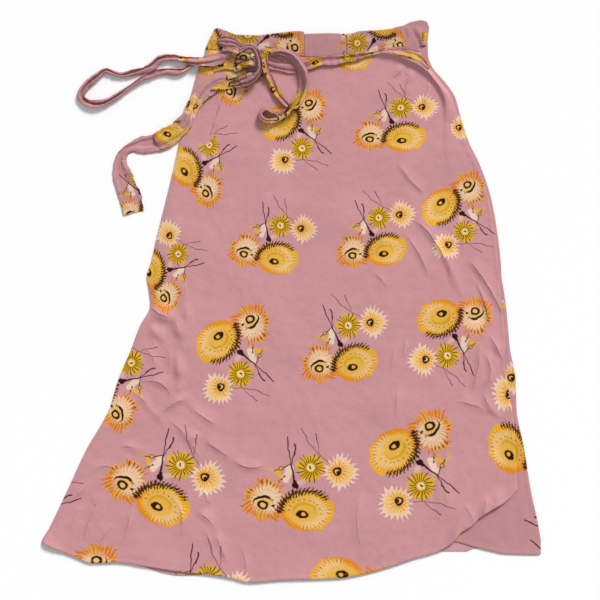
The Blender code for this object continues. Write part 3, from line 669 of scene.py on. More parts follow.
    dots = g.below(0.45 - (ring_a * 19.0 + turn * 4.0).cos(), 0.5) * g.below(abs(ring_r - 1.30 + ragged * 0.03) - 0.06, 0.08) * g.rise(ring_a.sin(), -0.3, 0.2)
    bloom = g.blend(bloom, WINE, dots * 0.75)
    bloom = g.blend(bloom, lin(204, 158, 30), g.below(abs(ring_r - 0.92) - 0.12 + ragged * 0.03, 0.14) * g.rise((ring_a - 1.7).cos(), -0.3, 0.5) * 0.9)
    pupil, pa, ex, ey = g.around(p, (8.6, -27.2), (5.7, 4.3))
    bloom = g.blend(bloom, INK, g.below((pupil - 1.0).least(g.stroke(p, (4.0, -27.8), (7.5, -27.4), 2.0) * 0.2) + ragged * 0.03, 0.2))
    bloom = g.blend(bloom, STRAW, g.below(g.far(p, (9.9, -26.8)) - 1.9, 0.9))
    bloom = g.vec("MULTIPLY", bloom, (1.0, 0.935, 0.78))
    colour = lay(colour, bloom, body)

    # the cream bloom
    r, a, x, y = g.around(p, (-27, -16))
    phase = a * 13.0 + (a * 5.0).sin() * 0.6 + turn * 2.4
    point = 1.0 - abs(phase.sin())
    edge = r - 18.2 - point * 5.0 - (a * 3.0 + 2.2).cos() * 1.2 - (a * 7.0).cos() * 1.3 + ragged * 0.55
    body = g.below(edge, 1.2)
    tips = g.rise(r + (a + 2.2).cos() * 2.6 + ragged * 1.0 - point * 2.4, 10.5, 15.5)
    bloom = g.blend(CREAM, lin(218, 126, 24), tips * 0.95)
    bloom = g.blend(bloom, YELLOW, tips * g.rise((a * 4.0 + 1.0).cos() + ragged * 0.3, 0.2, 0.9) * 0.7)
    cut = g.below(abs(phase.cos()) * r * 0.09 - 0.3, 0.6)
    bloom = g.blend(bloom, BROWN, cut * g.rise(r, 8.0, 11.0) * 0.8)
    bloom = g.blend(bloom, RUST, g.below(0.5 - (a * 47.0 + r * 0.9 + turn * 9.0).cos(), 0.5) * g.rise(r, 12.5, 15.5) * 0.55)
    bloom = g.blend(bloom, SHELL, g.below(0.6 - (a * 31.0 - r * 0.6 + turn * 7.0).sin(), 0.5) * g.rise(r, 10.5, 13.5) * 0.6)
    bloom = g.blend(bloom, WINE, g.below(abs(phase.cos()) * r * 0.09 - 0.7, 0.6) * g.rise((a - 2.0).cos(), 0.25, 0.7) * g.rise(r, 14.5, 17.0))
    bloom = g.blend(bloom, WINE, g.below(abs(phase.cos()) * r * 0.09 - 0.6, 0.6) * g.rise((a + 0.1).cos(), 0.7, 0.95) * g.rise(r, 13.5, 16.5))
    bloom = g.blend(bloom, lin(226, 190, 96), g.below(g.far(p, (-28, -18)) - 7.0 + ragged * 0.6, 3.0) * 0.85)
    ring = abs(g.far(p, (-29, -20.6)) - 3.6) - 1.15 + ragged * 0.08
    hr, ha, hx, hy = g.around(p, (-28.6, -20.5))
    hood = (abs(hr - 8.6) - (ha - 1.7).cos() * 1.6 + ragged * 0.12).most(0.25 - (ha - 1.8).cos())
    specks = g.below(0.3 - (ha * 11.0).cos(), 0.4) * g.below(abs(hr - 9.4) - 1.5, 0.8) * g.rise((ha - 0.12).cos(), 0.88, 0.95)
    bloom = g.blend(bloom, INK, g.below(ring.least(hood), 0.8).most(specks))
    bloom = g.vec("MULTIPLY", bloom, (0.98, 0.885, 0.81))
    colour = lay(colour, bloom, body)

    # the calyx and the scribble over the yellow bloom
    arc_r, arc_a, ax_, ay_ = g.around(p, (12.5, -27), (26, 22.5))
    left = (arc_a - 2.5).cos()
    teeth = (arc_a * 46.0 + arc_r * 24.0 + turn * 16.0).cos() * 0.085 + ragged * 0.02
    scribble = (abs(arc_r - 0.97) - 0.065 - left * 0.05 + teeth).most(0.36 - (arc_a - 1.95).cos())
    colour = lay(colour, INK, g.below(scribble, 0.05) * 0.95)
    blob = (g.far(p, (0, -0.6)) - 3.0).least(g.stroke(p, (0.2, 3.5), (1.8, -2.4), 1.5))
    colour = lay(colour, INK, g.below(blob, 0.9))

    g.put(leave.inputs[0], colour)
    return tree


def cloth_material(name, printed, tone, roughness=0.78, paler=0.0, creased=False, gathered=0.0):
    """Crepe with the print: tone darkens or lightens it, and below 1 on the band, the under front and the tie it is
    painted shade; paler fades it to the wrong side, creased adds the sharp crest of each crease to its soft shape in
    the mesh, and gathered adds fine fold lines along a strap, as a bump and as painted shade, dark in each groove and
    softer beside it."""
    m = bpy.data.materials.new(name)
    m.use_nodes = True
    g = Net(m.node_tree)
    shader = m.node_tree.nodes["Principled BSDF"]
    shader.inputs["Roughness"].default_value = roughness
    shader.inputs["Sheen Weight"].default_value = 0.02
    shader.inputs["Sheen Roughness"].default_value = 0.5
    shader.inputs["Specular IOR Level"].default_value = 0.09
    where = g.node("ShaderNodeUVMap", uv_map="Bunch")
    flower = g.node("ShaderNodeGroup")
    flower.node_tree = printed
    g.put(flower.inputs[0], where.outputs[0])
    colour = flower.outputs[0]
    lie = g.node("ShaderNodeUVMap", uv_map="Cloth")
    # broad shifts of tone, and the crossing yarns of the crepe
    broad = g.node("ShaderNodeTexNoise", noise_dimensions="2D")
    g.put(broad.inputs["Vector"], lie.outputs[0])
    broad.inputs["Scale"].default_value = 14.0
    broad.inputs["Detail"].default_value = 3.0
    yarn = g.node("ShaderNodeTexNoise", noise_dimensions="2D")
    g.put(yarn.inputs["Vector"], g.vec("MULTIPLY", lie.outputs[0], (1.0, 1.7, 1.0)))
    yarn.inputs["Scale"].default_value = 1500.0
    yarn.inputs["Detail"].default_value = 2.0
    middle = g.node("ShaderNodeTexNoise", noise_dimensions="2D")
    g.put(middle.inputs["Vector"], lie.outputs[0])
    middle.inputs["Scale"].default_value = 75.0
    middle.inputs["Detail"].default_value = 2.0
    # the tone scales the whole colour: on the band, the under front and the tie pieces it is painted shade
    shade = g.math("MULTIPLY_ADD", Val(g, broad.outputs["Fac"]), 0.14 * tone, 0.93 * tone)
    shade = shade + (Val(g, middle.outputs["Fac"]) - 0.5) * 0.10
    shade = shade + (Val(g, yarn.outputs["Fac"]) - 0.5) * 0.10
    tint = g.node("ShaderNodeCombineXYZ")
    for k in range(3):
        g.put(tint.inputs[k], shade)
    colour = g.vec("MULTIPLY", colour, tint.outputs[0])
    if paler:
        colour = g.blend(colour, lin(214, 172, 172), Val(g, broad.outputs["Fac"]) * 0.2 + paler)
    groove_with_painted_shade = None
    if gathered:
        pull = g.node("ShaderNodeTexNoise", noise_dimensions="2D")
        g.put(pull.inputs["Vector"], g.vec("MULTIPLY", lie.outputs[0], (1.0, 0.13, 1.0)))
        pull.inputs["Scale"].default_value = 190.0
        pull.inputs["Detail"].default_value = 2.0
        part = g.node("ShaderNodeTexNoise", noise_dimensions="2D")
        g.put(part.inputs["Vector"], lie.outputs[0])
        part.inputs["Scale"].default_value = 45.0
        groove_with_painted_shade = g.below(abs(Val(g, pull.outputs["Fac"]) - 0.5) - 0.012, 0.05) * g.rise(Val(g, part.outputs["Fac"]), 0.42, 0.6)
        # painted shade: the fold lines of the gathers darkened in their grooves, and a softer painted shade beside them
        colour = g.blend(colour, g.vec("MULTIPLY", colour, (0.46, 0.36, 0.36)), groove_with_painted_shade * gathered)
        soft = g.rise(Val(g, pull.outputs["Fac"]), 0.5, 0.68)
        colour = g.blend(colour, g.vec("MULTIPLY", colour, (0.74, 0.68, 0.68)), soft * 0.5 * gathered)
    g.put(shader.inputs["Base Color"], colour)
    # fine crumple and crepe as bump
    crumple = g.node("ShaderNodeTexNoise", noise_dimensions="2D")
    g.put(crumple.inputs["Vector"], lie.outputs[0])
    crumple.inputs["Scale"].default_value = 70.0
    crumple.inputs["Detail"].default_value = 4.0
    crumple.inputs["Roughness"].default_value = 0.55
    b1 = g.node("ShaderNodeBump")
    b1.inputs["Strength"].default_value = 0.5
    b1.inputs["Distance"].default_value = 0.0012
    g.put(b1.inputs["Height"], crumple.outputs["Fac"])
    b2 = g.node("ShaderNodeBump")
    b2.inputs["Strength"].default_value = 0.25
    b2.inputs["Distance"].default_value = 0.0002
    g.put(b2.inputs["Height"], yarn.outputs["Fac"])
    g.put(b2.inputs["Normal"], b1.outputs["Normal"])
    last = b2
    if creased:
        mark = g.node("ShaderNodeUVMap", uv_map="Crease")
        split_ = g.node("ShaderNodeSeparateXYZ")
        g.put(split_.inputs[0], mark.outputs[0])
        d, s = Val(g, split_.outputs[0]) * 100.0, Val(g, split_.outputs[1])
        d = d + (Val(g, crumple.outputs["Fac"]) - 0.5) * 3.0
        crest = g.math("MULTIPLY_ADD", d, -1 / 1.5, 1.0, clamp=True).least(g.math("MULTIPLY_ADD", d, 1 / 4.0, 1.0, clamp=True))
        b3 = g.node("ShaderNodeBump")
        b3.inputs["Strength"].default_value = 1.0
        b3.inputs["Distance"].default_value = 0.0009
        g.put(b3.inputs["Height"], crest * s)
        g.put(b3.inputs["Normal"], b2.outputs["Normal"])
        last = b3
    if groove_with_painted_shade is not None:
        b4 = g.node("ShaderNodeBump")
        b4.inputs["Strength"].default_value = 0.8
        b4.inputs["Distance"].default_value = 0.0010
        g.put(b4.inputs["Height"], Val(g, pull.outputs["Fac"]) * 2.0 - groove_with_painted_shade * 0.5)
        g.put(b4.inputs["Normal"], last.outputs["Normal"])
        last = b4
    g.put(shader.inputs["Normal"], last.outputs["Normal"])
    return m


PRINT = print_group()
FACE = cloth_material("printed_crepe", PRINT, 1.0)
FACE_CREASED = cloth_material("printed_crepe_creased", PRINT, 1.0, creased=True)
WRONG = cloth_material("printed_crepe_wrong_side", PRINT, 0.96, paler=0.35)
# darker copies of the same crepe: painted shade for the doubled band, the under front's strip and corner, and the tie,
# its tail and its hollow knot
BAND_FACE_PAINTED_SHADE = cloth_material("printed_crepe_band_painted_shade", PRINT, 0.82)
UNDER_FACE_PAINTED_SHADE = cloth_material("printed_crepe_under_painted_shade", PRINT, 0.91)
TIE_FACE_PAINTED_SHADE = cloth_material("printed_crepe_tie_painted_shade", PRINT, 0.84, gathered=0.6)
TAIL_FACE_PAINTED_SHADE = cloth_material("printed_crepe_tail_painted_shade", PRINT, 0.92, gathered=0.2)
KNOT_FACE_PAINTED_SHADE = cloth_material("printed_crepe_knot_painted_shade", PRINT, 0.73, gathered=1.0)


def thread_material(name, dark, light):
    m = bpy.data.materials.new(name)
    m.use_nodes = True
    g = Net(m.node_tree)
    shader = m.node_tree.nodes["Principled BSDF"]
    shader.inputs["Roughness"].default_value = 0.6
    place_ = g.node("ShaderNodeTexCoord")
    noise = g.node("ShaderNodeTexNoise")
    g.put(noise.inputs["Vector"], place_.outputs["Object"])
    noise.inputs["Scale"].default_value = 900.0
    g.put(shader.inputs["Base Color"], g.blend(dark, light, noise.outputs["Fac"]))
    return m


THREAD = thread_material("thread", lin(204, 148, 152), lin(212, 158, 161))
# a dark thread for the dart's stitched line: its dark colour is painted shade of the pressed fold's line
SEAM_THREAD_PAINTED_SHADE = thread_material("thread_in_seam_painted_shade", lin(118, 66, 66), lin(140, 84, 84))

# ---------------------------------------------------------------------------------------------------------------
# Panels.

left_edge, right_edge = curve(SIDES, 0, 1), curve(SIDES, 0, 2)
free_edge, under_edge = curve(FREE_EDGE), curve(UNDER_EDGE)
hem_over, hem_under, hem_back = curve(HEM_OVER), curve(HEM_UNDER), curve(HEM_BACK)
seam_over, seam_under, seam_back = curve(SEAM_OVER), curve(SEAM_UNDER), curve(SEAM_BACK)


def edge_y(fn, y0, y1):
    return lambda t: (fn(y0 + (y1 - y0) * t), y0 + (y1 - y0) * t + 0 * t)


def edge_x(fn, x0, x1, lift=0.0):
    return lambda t: (x0 + (x1 - x0) * t, fn(x0 + (x1 - x0) * t) + lift)


def panel_grid(edges, width, height, cols, rows, left, right, up, down, close=(0.0, 0.0)):
    """Grid over four edges. left, right, up and down are the distances, in mm, of the close lines near each edge;
    width(v) and height(u) are the panel's size there."""
    vv = spaced(up, down, height(0.5), rows, close[1]) / height(0.5)
    U, V = [], []
    for k, v in enumerate(vv):
        w = float(width(v))
        U.append(spaced(left, right, w, cols, close[0]) / w)
    U = np.array(U)
    for k in range(U.shape[1]):
        h = float(height(float(np.mean(U[:, k]))))
        V.append(spaced(up, down, h, rows, close[1]) / h)
    V = np.array(V).T
    return blended(*edges, U, V), U, V


over_edges = (
    edge_y(left_edge, 352 - SEAM, -338), edge_y(free_edge, 348 - SEAM, -262),
    edge_x(seam_over, -120.5, 180, -SEAM), edge_x(hem_over, -349, 316),
)
COLS, ROWS = ((186, 196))
P, U, V = panel_grid(
    over_edges, lambda v: 300.5 + 364.5 * v, lambda u: 690 - 80 * u, COLS, ROWS,
    [0, 0.5, 1.2, 2.4, 4, 6, 8.5], [0, 0.35, 0.9, 2.0, 3.6, 4.4, 5.2, 7.0, 9.5],
    [0, 0.5, 1.2, 2.2, 3.6, 5.5], [0, 0.35, 0.9, 2.0, 3.6, 4.4, 5.2, 7.0, 9.5], close=(-0.25, 0.35),
)
X, Y = P[..., 0], P[..., 1]
to_left = X - left_edge(Y)
to_free = (1 - U) * (300.5 + 364.5 * V)
to_hem = (1 - V) * (690 - 80 * U)
to_seam = V * (690 - 80 * U)

base = undulation(X, Y)
quiet = ramp(to_left, 0, 25) * ramp(to_free, 0, 14) * ramp(to_hem, 0, 10) * ramp(to_seam, 0, 12)
folds, line_d, line_s = crease_height(X, Y, CREASES, lines=True)
fade_edges = ramp(to_left, 0, 12)
z = 3.55 + (base - base.min() * 0.0) * (0.35 + 0.65 * quiet) + folds * fade_edges
# a long soft ridge under the waist at the right, and the tuck that runs down from it
STEP = ((112, 346.5), (131, 347.2), (149, 344.0), (163, 337), (178, 330.5), (191, 321), (203, 307.5), (212, 292), (216.5, 274), (217, 250))
TUCK = ((195.5, 324), (215, 300), (218, 276), (216.5, 250), (218, 208), (220.7, 189.5))


def beside(px, py, pts):
    """Distance to a line of points, the place along it from 0 to 1, and which side."""
    best, along, side = np.full(px.shape, 1e9), np.zeros_like(px), np.zeros_like(px)
    n = len(pts) - 1
    for k in range(n):
        (ax, ay), (bx, by) = pts[k], pts[k + 1]
        dx, dy = bx - ax, by - ay
        h = np.clip(((px - ax) * dx + (py - ay) * dy) / (dx * dx + dy * dy), 0, 1)
        ex, ey = px - ax - h * dx, py - ay - h * dy
        d = np.hypot(ex, ey)
        better = d < best
        best = np.where(better, d, best)
        along = np.where(better, (k + h) / n, along)
        side = np.where(better, np.sign(dx * ey - dy * ex), side)
    return best, along, side


def rounded(pts):
    """The line of points with its corners cut twice."""
    for _ in range(2):
        cut = [tuple(w * np.array(a) + (1 - w) * np.array(b)) for a, b in zip(pts, pts[1:]) for w in (0.75, 0.25)]
        pts = [pts[0], *cut, pts[-1]]
    return pts


d, s, side = beside(X, Y, rounded(STEP))
raised = np.where(side > 0, np.exp(-((d / 12.0) ** 1.6)), np.exp(-((d / 3.8) ** 2)) * 0.94 + 0.06 * np.exp(-((d / 9.0) ** 2)))
z += 6.6 * raised * ramp(s, 0.0, 0.16) * (1 - ramp(s, 0.62, 1.0)) ** 0.8 * ramp(to_free, -1, 9)
d, s, side = beside(X, Y, TUCK)
wide = np.where(side < 0, 4.0, 20.0)   # steep on the left, gentle on the right of the run downwards
z += 1.7 * np.exp(-((d / wide) ** 2)) * np.clip(1.15 - s, 0, 1) ** 0.7 * ramp(s, 0.0, 0.15) * ramp(to_free, 0, 6)
# the waist dart: a pressed line with the cloth standing a little beside it
DART = ((-93, 293), (-103.5, 262), (-114, 230))
d, s, side = beside(X, Y, DART)
z += np.where(side > 0, 1.25 * np.exp(-((d / 11.0) ** 1.4)), 0.0) * (1 - ramp(s, 0.7, 1.0)) ** 0.6
z += 0.35 * np.sin(Y * 0.75 + 1.4 * np.sin(X * 0.3)) * np.exp(-(((d - 6) / 4.5) ** 2)) * (side < 0) * np.clip(1 - s, 0, 1)
z += 0.5 * np.exp(-(((d - 4.5) / 3.5) ** 2)) * np.clip(1 - s, 0, 1) * (1 + 0.5 * np.sin(s * 37))
# pressed hem and facing turned under at the free edge: a rolled ridge with a sunk stitch line
for dist, seed in ((to_hem, 0.0), (to_free, 2.0)):
    run = X if seed == 0 else Y
    z += 0.35 * (1 - ramp(dist, 3.9, 5.0)) * (1 + 0.25 * np.sin(run * 0.35 + seed) * np.sin(run * 0.083))
    z -= 0.12 * np.exp(-(((dist - 3.7) / 0.6) ** 2))
    z -= 0.5 * (1 - ramp(dist, 0, 0.6))
    z += 0.16 * np.sin(run * 0.55 + 1.3 * np.sin(run * 0.11)) * np.exp(-(((dist - 6.5) / 3.0) ** 2))
# ditch at the waist seam, with small puckers below it
z -= 0.7 * (1 - ramp(to_seam, 0, 1.6))
pucker = np.sin(X * 0.42 + 1.6 * np.sin(X * 0.05)) + 0.6 * np.sin(X * 0.91 + 2)
z += 0.17 * pucker * np.exp(-((to_seam / 9.0) ** 2))
z += 0.8 * np.exp(-((to_seam / 14.0) ** 2)) * ramp(X, -118, -90) * (1 - ramp(X, -75, -40)) * np.sin(X * 0.5 + Y * 0.16)
# the lower right edge stands a little off the under front
lift = ramp(X, 200, 240) * (1 - ramp(to_hem, 4, 28)) * (1 - 0.3 * ramp(X, 290, 316)) * ramp(V, 0.8, 0.95)
z += (3.6 + 1.1 * np.sin(X * 0.115 + 0.6) + 0.6 * np.sin(X * 0.31)) * lift
lift_free = ramp(-Y, 120, 250) * (1 - ramp(to_free, 2, 20)) * 1.4
z += lift_free * (1 - lift)
# the side seam at the left rolls down to the back
fall = np.clip(1 - to_left / 9.0, 0, 1) ** 1.7
z = z * (1 - fall) + 1.75 * fall
z = np.maximum(z, 1.75 + (3.25 - 1.75) * (1 - fall))
z += 3.0 * (1 - ramp(to_hem, 1, 16)) * (1 - ramp(X, -338, -312)) * ramp(to_left, -1, 3)
thick = 0.8 - 0.35 * (1 - ramp(np.minimum(np.minimum(to_free, to_hem), to_left), 0, 0.6))
top = np.stack([X, Y, z], -1)
low = np.stack([X, Y, z - thick], -1)
over = build("skirt_front_over", shell_data(top, low, P), BUNCHES, (FACE_CREASED, WRONG), lines=(line_d, line_s), plain=PLAIN_OVER)
place(over, "front_over_panel")
OVER_Z = (X, Y, z)


def stitches(name, path, pitch=3.3, long=2.3, fat=0.17, material=None):
    """A row of thread stitches as one mesh of small rounded bars on a path of (x, y, z) points."""
    path = np.array(path, float)
    step = np.hypot(*np.diff(path[:, :2], axis=0).T)
    s = np.concatenate([[0], np.cumsum(step)])
    parts = []
    count = int(s[-1] // pitch)
    starts = (np.arange(count) + 0.5) * pitch
    jitter = np.random.default_rng(7).uniform(-0.25, 0.25, count)
    ring = [(math.cos(a), math.sin(a)) for a in np.linspace(0, math.tau, 7)[:-1]]
    points, faces = [], []
    for k, c in enumerate(starts):
        cx, cy, cz = (np.interp(c + jitter[k], s, path[:, i]) for i in range(3))
        fx, fy = (np.interp(c + 1.0, s, path[:, i]) - np.interp(c - 1.0, s, path[:, i]) for i in range(2))
        ln = math.hypot(fx, fy) or 1.0
        fx, fy = fx / ln, fy / ln
        base_ = len(points)
        for along, size, sink in ((-0.5, 0.35, 0.16), (-0.3, 0.95, 0.03), (0.3, 0.95, 0.03), (0.5, 0.35, 0.16)):
            for a, b in ring:
                points.append((
                    cx + fx * along * long - fy * a * fat * size,
                    cy + fy * along * long + fx * a * fat * size,
                    cz - sink + b * fat * 0.8 * size,
                ))
        for m in range(3):
            for i in range(6):
                j = (i + 1) % 6
                faces.append((base_ + 6 * m + i, base_ + 6 * m + 6 + i, base_ + 6 * m + 6 + j, base_ + 6 * m + j))
        faces.append((base_, base_ + 1, base_ + 2, base_ + 3))
        faces.append((base_, base_ + 3, base_ + 4, base_ + 5))
        faces.append((base_ + 18, base_ + 21, base_ + 20, base_ + 19))
        faces.append((base_ + 18, base_ + 23, base_ + 22, base_ + 21))
    mesh = bpy.data.meshes.new(name)
    mesh.from_pydata([tuple(c * MM for c in q) for q in points], [], faces)
    mesh.materials.append(material or THREAD)
    mesh.shade_smooth()
    obj = bpy.data.objects.new(name, mesh)
    bpy.context.scene.collection.objects.link(obj)
    return obj


def grid_line(where_u=None, where_v=None):
    """A line of points on the over front's grid: one of its columns or rows."""
    return top[:, where_u] if where_u is not None else top[where_v, :]


hem_row, free_col = top[-5, 6:-5], top[6:-5, -5]
hem_stitch = stitches("stitches_hem", hem_row + np.array([0, 0, 0.05]))
free_stitch = stitches("stitches_free_edge", free_col + np.array([0, 0, 0.05]))
# the dart's stitched line in dark thread, which is painted shade along the pressed fold
dart_path = []
for along in np.linspace(0.0, 0.96, 40):
    x, y = -93 - 21 * along - 1.2 * math.sin(math.pi * along), 293 - 63 * along
    k = np.argmin((top[..., 0] - x) ** 2 + (top[..., 1] - y) ** 2)
    dart_path.append((x, y, top.reshape(-1, 3)[k, 2] + 0.1))
smooth = np.convolve(np.pad([q[2] for q in dart_path], 3, mode="edge"), np.ones(7) / 7, "valid")
dart_stitch = stitches("stitches_dart", [(q[0], q[1], h) for q, h in zip(dart_path, smooth)], pitch=2.2, long=2.6, fat=0.27, material=SEAM_THREAD_PAINTED_SHADE)
for piece in (hem_stitch, free_stitch, dart_stitch):
    place(piece, None)

# Under front: a strip beside the free edge and the lower right corner show.
under_edges = (
    edge_y(under_edge, 348 - SEAM, -300), edge_y(right_edge, 358 - SEAM, -354),
    edge_x(seam_under, -98, 190, -SEAM), edge_x(hem_under, -306, 349),
)
P, U, V = panel_grid(
    under_edges, lambda v: 288 + 367 * v, lambda u: 650 + 62 * u, 84, 96,
    [0, 2], [0, 0.4, 1.0, 2.2, 4, 6.5, 9.5, 13, 17, 21.5, 26, 31, 36, 42, 48], [0, 1.5, 4],
    [0, 0.35, 0.9, 2.0, 3.6, 4.4, 5.2, 7, 10, 13.5, 17, 21, 26, 31, 36, 42, 48, 55, 62, 70],
)
X, Y = P[..., 0], P[..., 1]
to_side = (1 - U) * (288 + 367 * V)
to_hem = (1 - V) * (650 + 62 * U)
z = 2.12 + 0.09 * undulation(X, Y) / 0.5 + crease_height(X, Y, CREASES_UNDER)
z += 0.3 * (1 - ramp(to_hem, 3.9, 5.0)) - 0.22 * np.exp(-(((to_hem - 3.7) / 0.6) ** 2)) - 0.35 * (1 - ramp(to_hem, 0, 0.6))
z -= 0.55 * (1 - ramp(to_side, 0, 2.5))
thick = 0.75 - 0.3 * (1 - ramp(np.minimum(to_side, to_hem), 0, 0.6))
top_u = np.stack([X, Y, z], -1)
under = build("skirt_front_under", shell_data(top_u, np.stack([X, Y, np.minimum(z - thick, 1.5)], -1), P), BUNCHES_UNDER, (UNDER_FACE_PAINTED_SHADE, WRONG))
place(under, "front_under_panel")
under_stitch = stitches("stitches_hem_under", top_u[-5, -34:-2] + np.array([0, 0, 0.12]))
place(under_stitch, None)

# Back panel: flat where it lies on the floor; its wrong side shows past the front hem.
back_edges = (
    edge_y(left_edge, 349 - SEAM, -338), edge_y(right_edge, 360 - SEAM, -346),
    edge_x(seam_back, -119, 191, -SEAM), edge_x(hem_back, -349, 349),
)
P, U, V = panel_grid(
    back_edges, lambda v: 310 + 388 * v, lambda u: 687 + 19 * u, 76, 84,
    [0, 0.5, 1.4, 3], [0, 0.5, 1.4, 3], [0, 1.5, 4], [0, 0.4, 1.0, 2.2, 4, 6.5],
)
X, Y = P[..., 0], P[..., 1]
near = np.minimum(np.minimum(U * (310 + 388 * V), (1 - U) * (310 + 388 * V)), (1 - V) * 690)
wave = 0.08 * undulation(X, Y) / 0.5
z = 0.82 + np.clip(wave, -0.1, 0.1) - 0.3 * (1 - ramp(near, 0, 0.8))
dents = crease_height(X, Y, CREASES_BACK) * ramp(near, 2, 20)
top_b = np.stack([X, Y, z], -1)
low_b = np.stack([X, Y, np.clip(dents, 0, 0.35) + 0.12 * (1 - ramp(near, 0, 0.8))], -1)
back = build("skirt_back", shell_data(top_b, low_b, P), BUNCHES_BACK, (WRONG, FACE))
place(back, "back_panel")

# ---------------------------------------------------------------------------------------------------------------
# Waistband.


def band(name, node, edges, z_top, long, tall, bunches, cols, seed, plain=False):
    u = spaced([0, 0.4, 1.0, 2.0], [0, 0.4, 1.0, 2.0], long, cols) / long
    v = spaced([0, 0.3, 0.8, 1.6, 2.6], [0, 0.4, 0.9, 1.7, 3.0], tall, 16) / tall
    U, V = np.meshgrid(u, v)
    P = blended(*edges, U, V)
    X, Y = P[..., 0], P[..., 1]
    from_top, from_seam = V * tall, (1 - V) * tall
    from_end = np.minimum(U, 1 - U) * long
    z = np.full(X.shape, z_top)
    z -= 0.55 * (1 - ramp(from_top, 0, 1.3)) ** 2           # the folded top edge
    z -= 0.6 * (1 - ramp(from_seam, 0, 1.1))                # the seam that joins it to the skirt
    z -= 0.5 * (1 - ramp(from_end, 0, 1.1))                 # its upright seams
    z -= 0.15 * np.exp(-(((from_top - 4.0) / 0.8) ** 2))    # pressed line below the fold
    wav = np.sin(X * 0.21 + seed) * np.sin(X * 0.063 + 2 * seed) + 0.5 * np.sin(X * 0.47 + V * 2 + seed)
    z += 0.16 * wav * ramp(from_end, 0, 5) * np.sin(np.pi * np.clip(V, 0, 1)) ** 0.5
    z += 0.12 * np.sin(X * 0.8 + 2 * np.sin(X * 0.13)) * np.exp(-((from_seam / 6) ** 2))
    thick = 0.95 - 0.3 * (1 - ramp(np.minimum(from_top, from_end), 0, 0.6))
    return X, Y, U, V, z, thick, P


def finish_band(name, node, X, Y, z, thick, P, bunches, material=None, plain=()):
    # rows run from the top edge down, columns to the right
    data = shell_data(np.stack([X, Y, z], -1), np.stack([X, Y, z - thick], -1), P)
    obj = build(name, data, bunches, (material or BAND_FACE_PAINTED_SHADE, WRONG), plain=plain)
    place(obj, node)
    return obj


top_left, top_rest, top_back = curve(TOP_LEFT), curve(TOP_REST), curve(TOP_BACK)
end_left, end_over = curve(END_LEFT), curve(END_OVER)
straight = lambda x0, y0, x1, y1: (lambda t: (x0 + (x1 - x0) * t, y0 + (y1 - y0) * t))

s1, s2 = SEAM_X1, SEAM_X2
edges = (
    lambda t: (end_left(381 - 29 * t), 381 - 29 * t + 0.15 * t), straight(s1 - SEAM, float(top_left(s1 - SEAM)), s1 - SEAM, float(seam_over(s1 - SEAM)) + SEAM),
    edge_x(top_left, -107, s1 - SEAM), edge_x(seam_over, -120, s1 - SEAM, SEAM),
)
X, Y, U, V, z, thick, P = band("left", None, edges, 3.78, 135, 30, None, 76, 0.4)
pleat = ramp(X, -120, -108) * (1 - ramp(X, -78, -50))
fan = np.sin((np.arctan2(Y - 372, X + 96)) * 9)
z += 0.45 * pleat * fan * np.exp(-(((Y - 362) / 14) ** 2)) * ramp(U * 135, 0, 4)
finish_band("waistband_left_cloth", "waistband_left", X, Y, z, thick, P, BUNCHES_LEFT_BAND)

edges = (
    straight(s1 + SEAM, float(top_rest(s1 + SEAM)), s1 + SEAM, float(seam_over(s1 + SEAM)) + SEAM),
    straight(s2 - SEAM, float(top_rest(s2 - SEAM)), s2 - SEAM, float(seam_over(s2 - SEAM)) + SEAM),
    edge_x(top_rest, s1 + SEAM, s2 - SEAM), edge_x(seam_over, s1 + SEAM, s2 - SEAM, SEAM),
)
X, Y, U, V, z, thick, P = band("mid", None, edges, 3.78, 59, 32, None, 34, 2.1)
finish_band("waistband_mid_cloth", "waistband_mid", X, Y, z, thick, P, BUNCHES_MID_BAND, plain=((22, 368, 56, 368, 14),))

edges = (
    straight(s2 + SEAM, float(top_rest(s2 + SEAM)), s2 + SEAM, float(seam_over(s2 + SEAM)) + SEAM),
    lambda t: (end_over(384 - 35.85 * t), 384 - 35.85 * t),
    edge_x(top_rest, s2 + SEAM, 166), edge_x(seam_over, s2 + SEAM, 180, SEAM),
)
X, Y, U, V, z, thick, P = band("right", None, edges, 3.78, 97, 34, None, 56, 3.7)
# a soft fold before the end, where the band rolls over
d, s, side = beside(X, Y, ((160, 383), (164, 370), (159, 358.5), (146, 354.5), (130, 353)))
z += 1.9 * np.exp(-((d / np.where(side > 0, 6.5, 1.3)) ** 2)) * np.sin(np.pi * np.clip(s, 0, 1)) ** 0.5
z += 0.5 * ramp(X, 160, 170)
finish_band("waistband_right_cloth", "waistband_right", X, Y, z, thick, P, BUNCHES_RIGHT_BAND, plain=((136, 351, 160, 353, 3.6), (171, 353, 167, 390, 9.5)))

edges = (
    straight(-90, float(top_back(-90)) - 1, -96, float(seam_under(-96)) + SEAM), straight(191, 388.5, 189, float(seam_under(189)) + SEAM),
    lambda t: (-90 + 281 * t, top_back(-90 + 281 * t) - 1.0), edge_x(seam_under, -96, 189, SEAM),
)
X, Y, U, V, z, thick, P = band("under", None, edges, 2.3, 285, 32, None, 150, 5.2)
z = np.minimum(z, 2.45)
gather = ramp(X, 168, 174) * (1 - ramp(Y, 372, 384))
z += 0.9 * gather * np.sin(X * 0.75 + (Y - 360) * 0.22 + 0.8 * np.sin(Y * 0.2)) ** 2 * ramp(191 - X, 0, 3)
d, s, side = beside(X, Y, rounded(((174, 384), (178, 374), (182.5, 364), (187, 350))))
z += 2.7 * np.exp(-((d / np.where(side > 0, 7.0, 2.6)) ** 2)) * ramp(s, 0, 0.35) * ramp(191 - X, 0, 3.5)
finish_band("waistband_under_cloth", "waistband_under", X, Y, z, thick * 0.9, P, BUNCHES_CORNER_BAND)

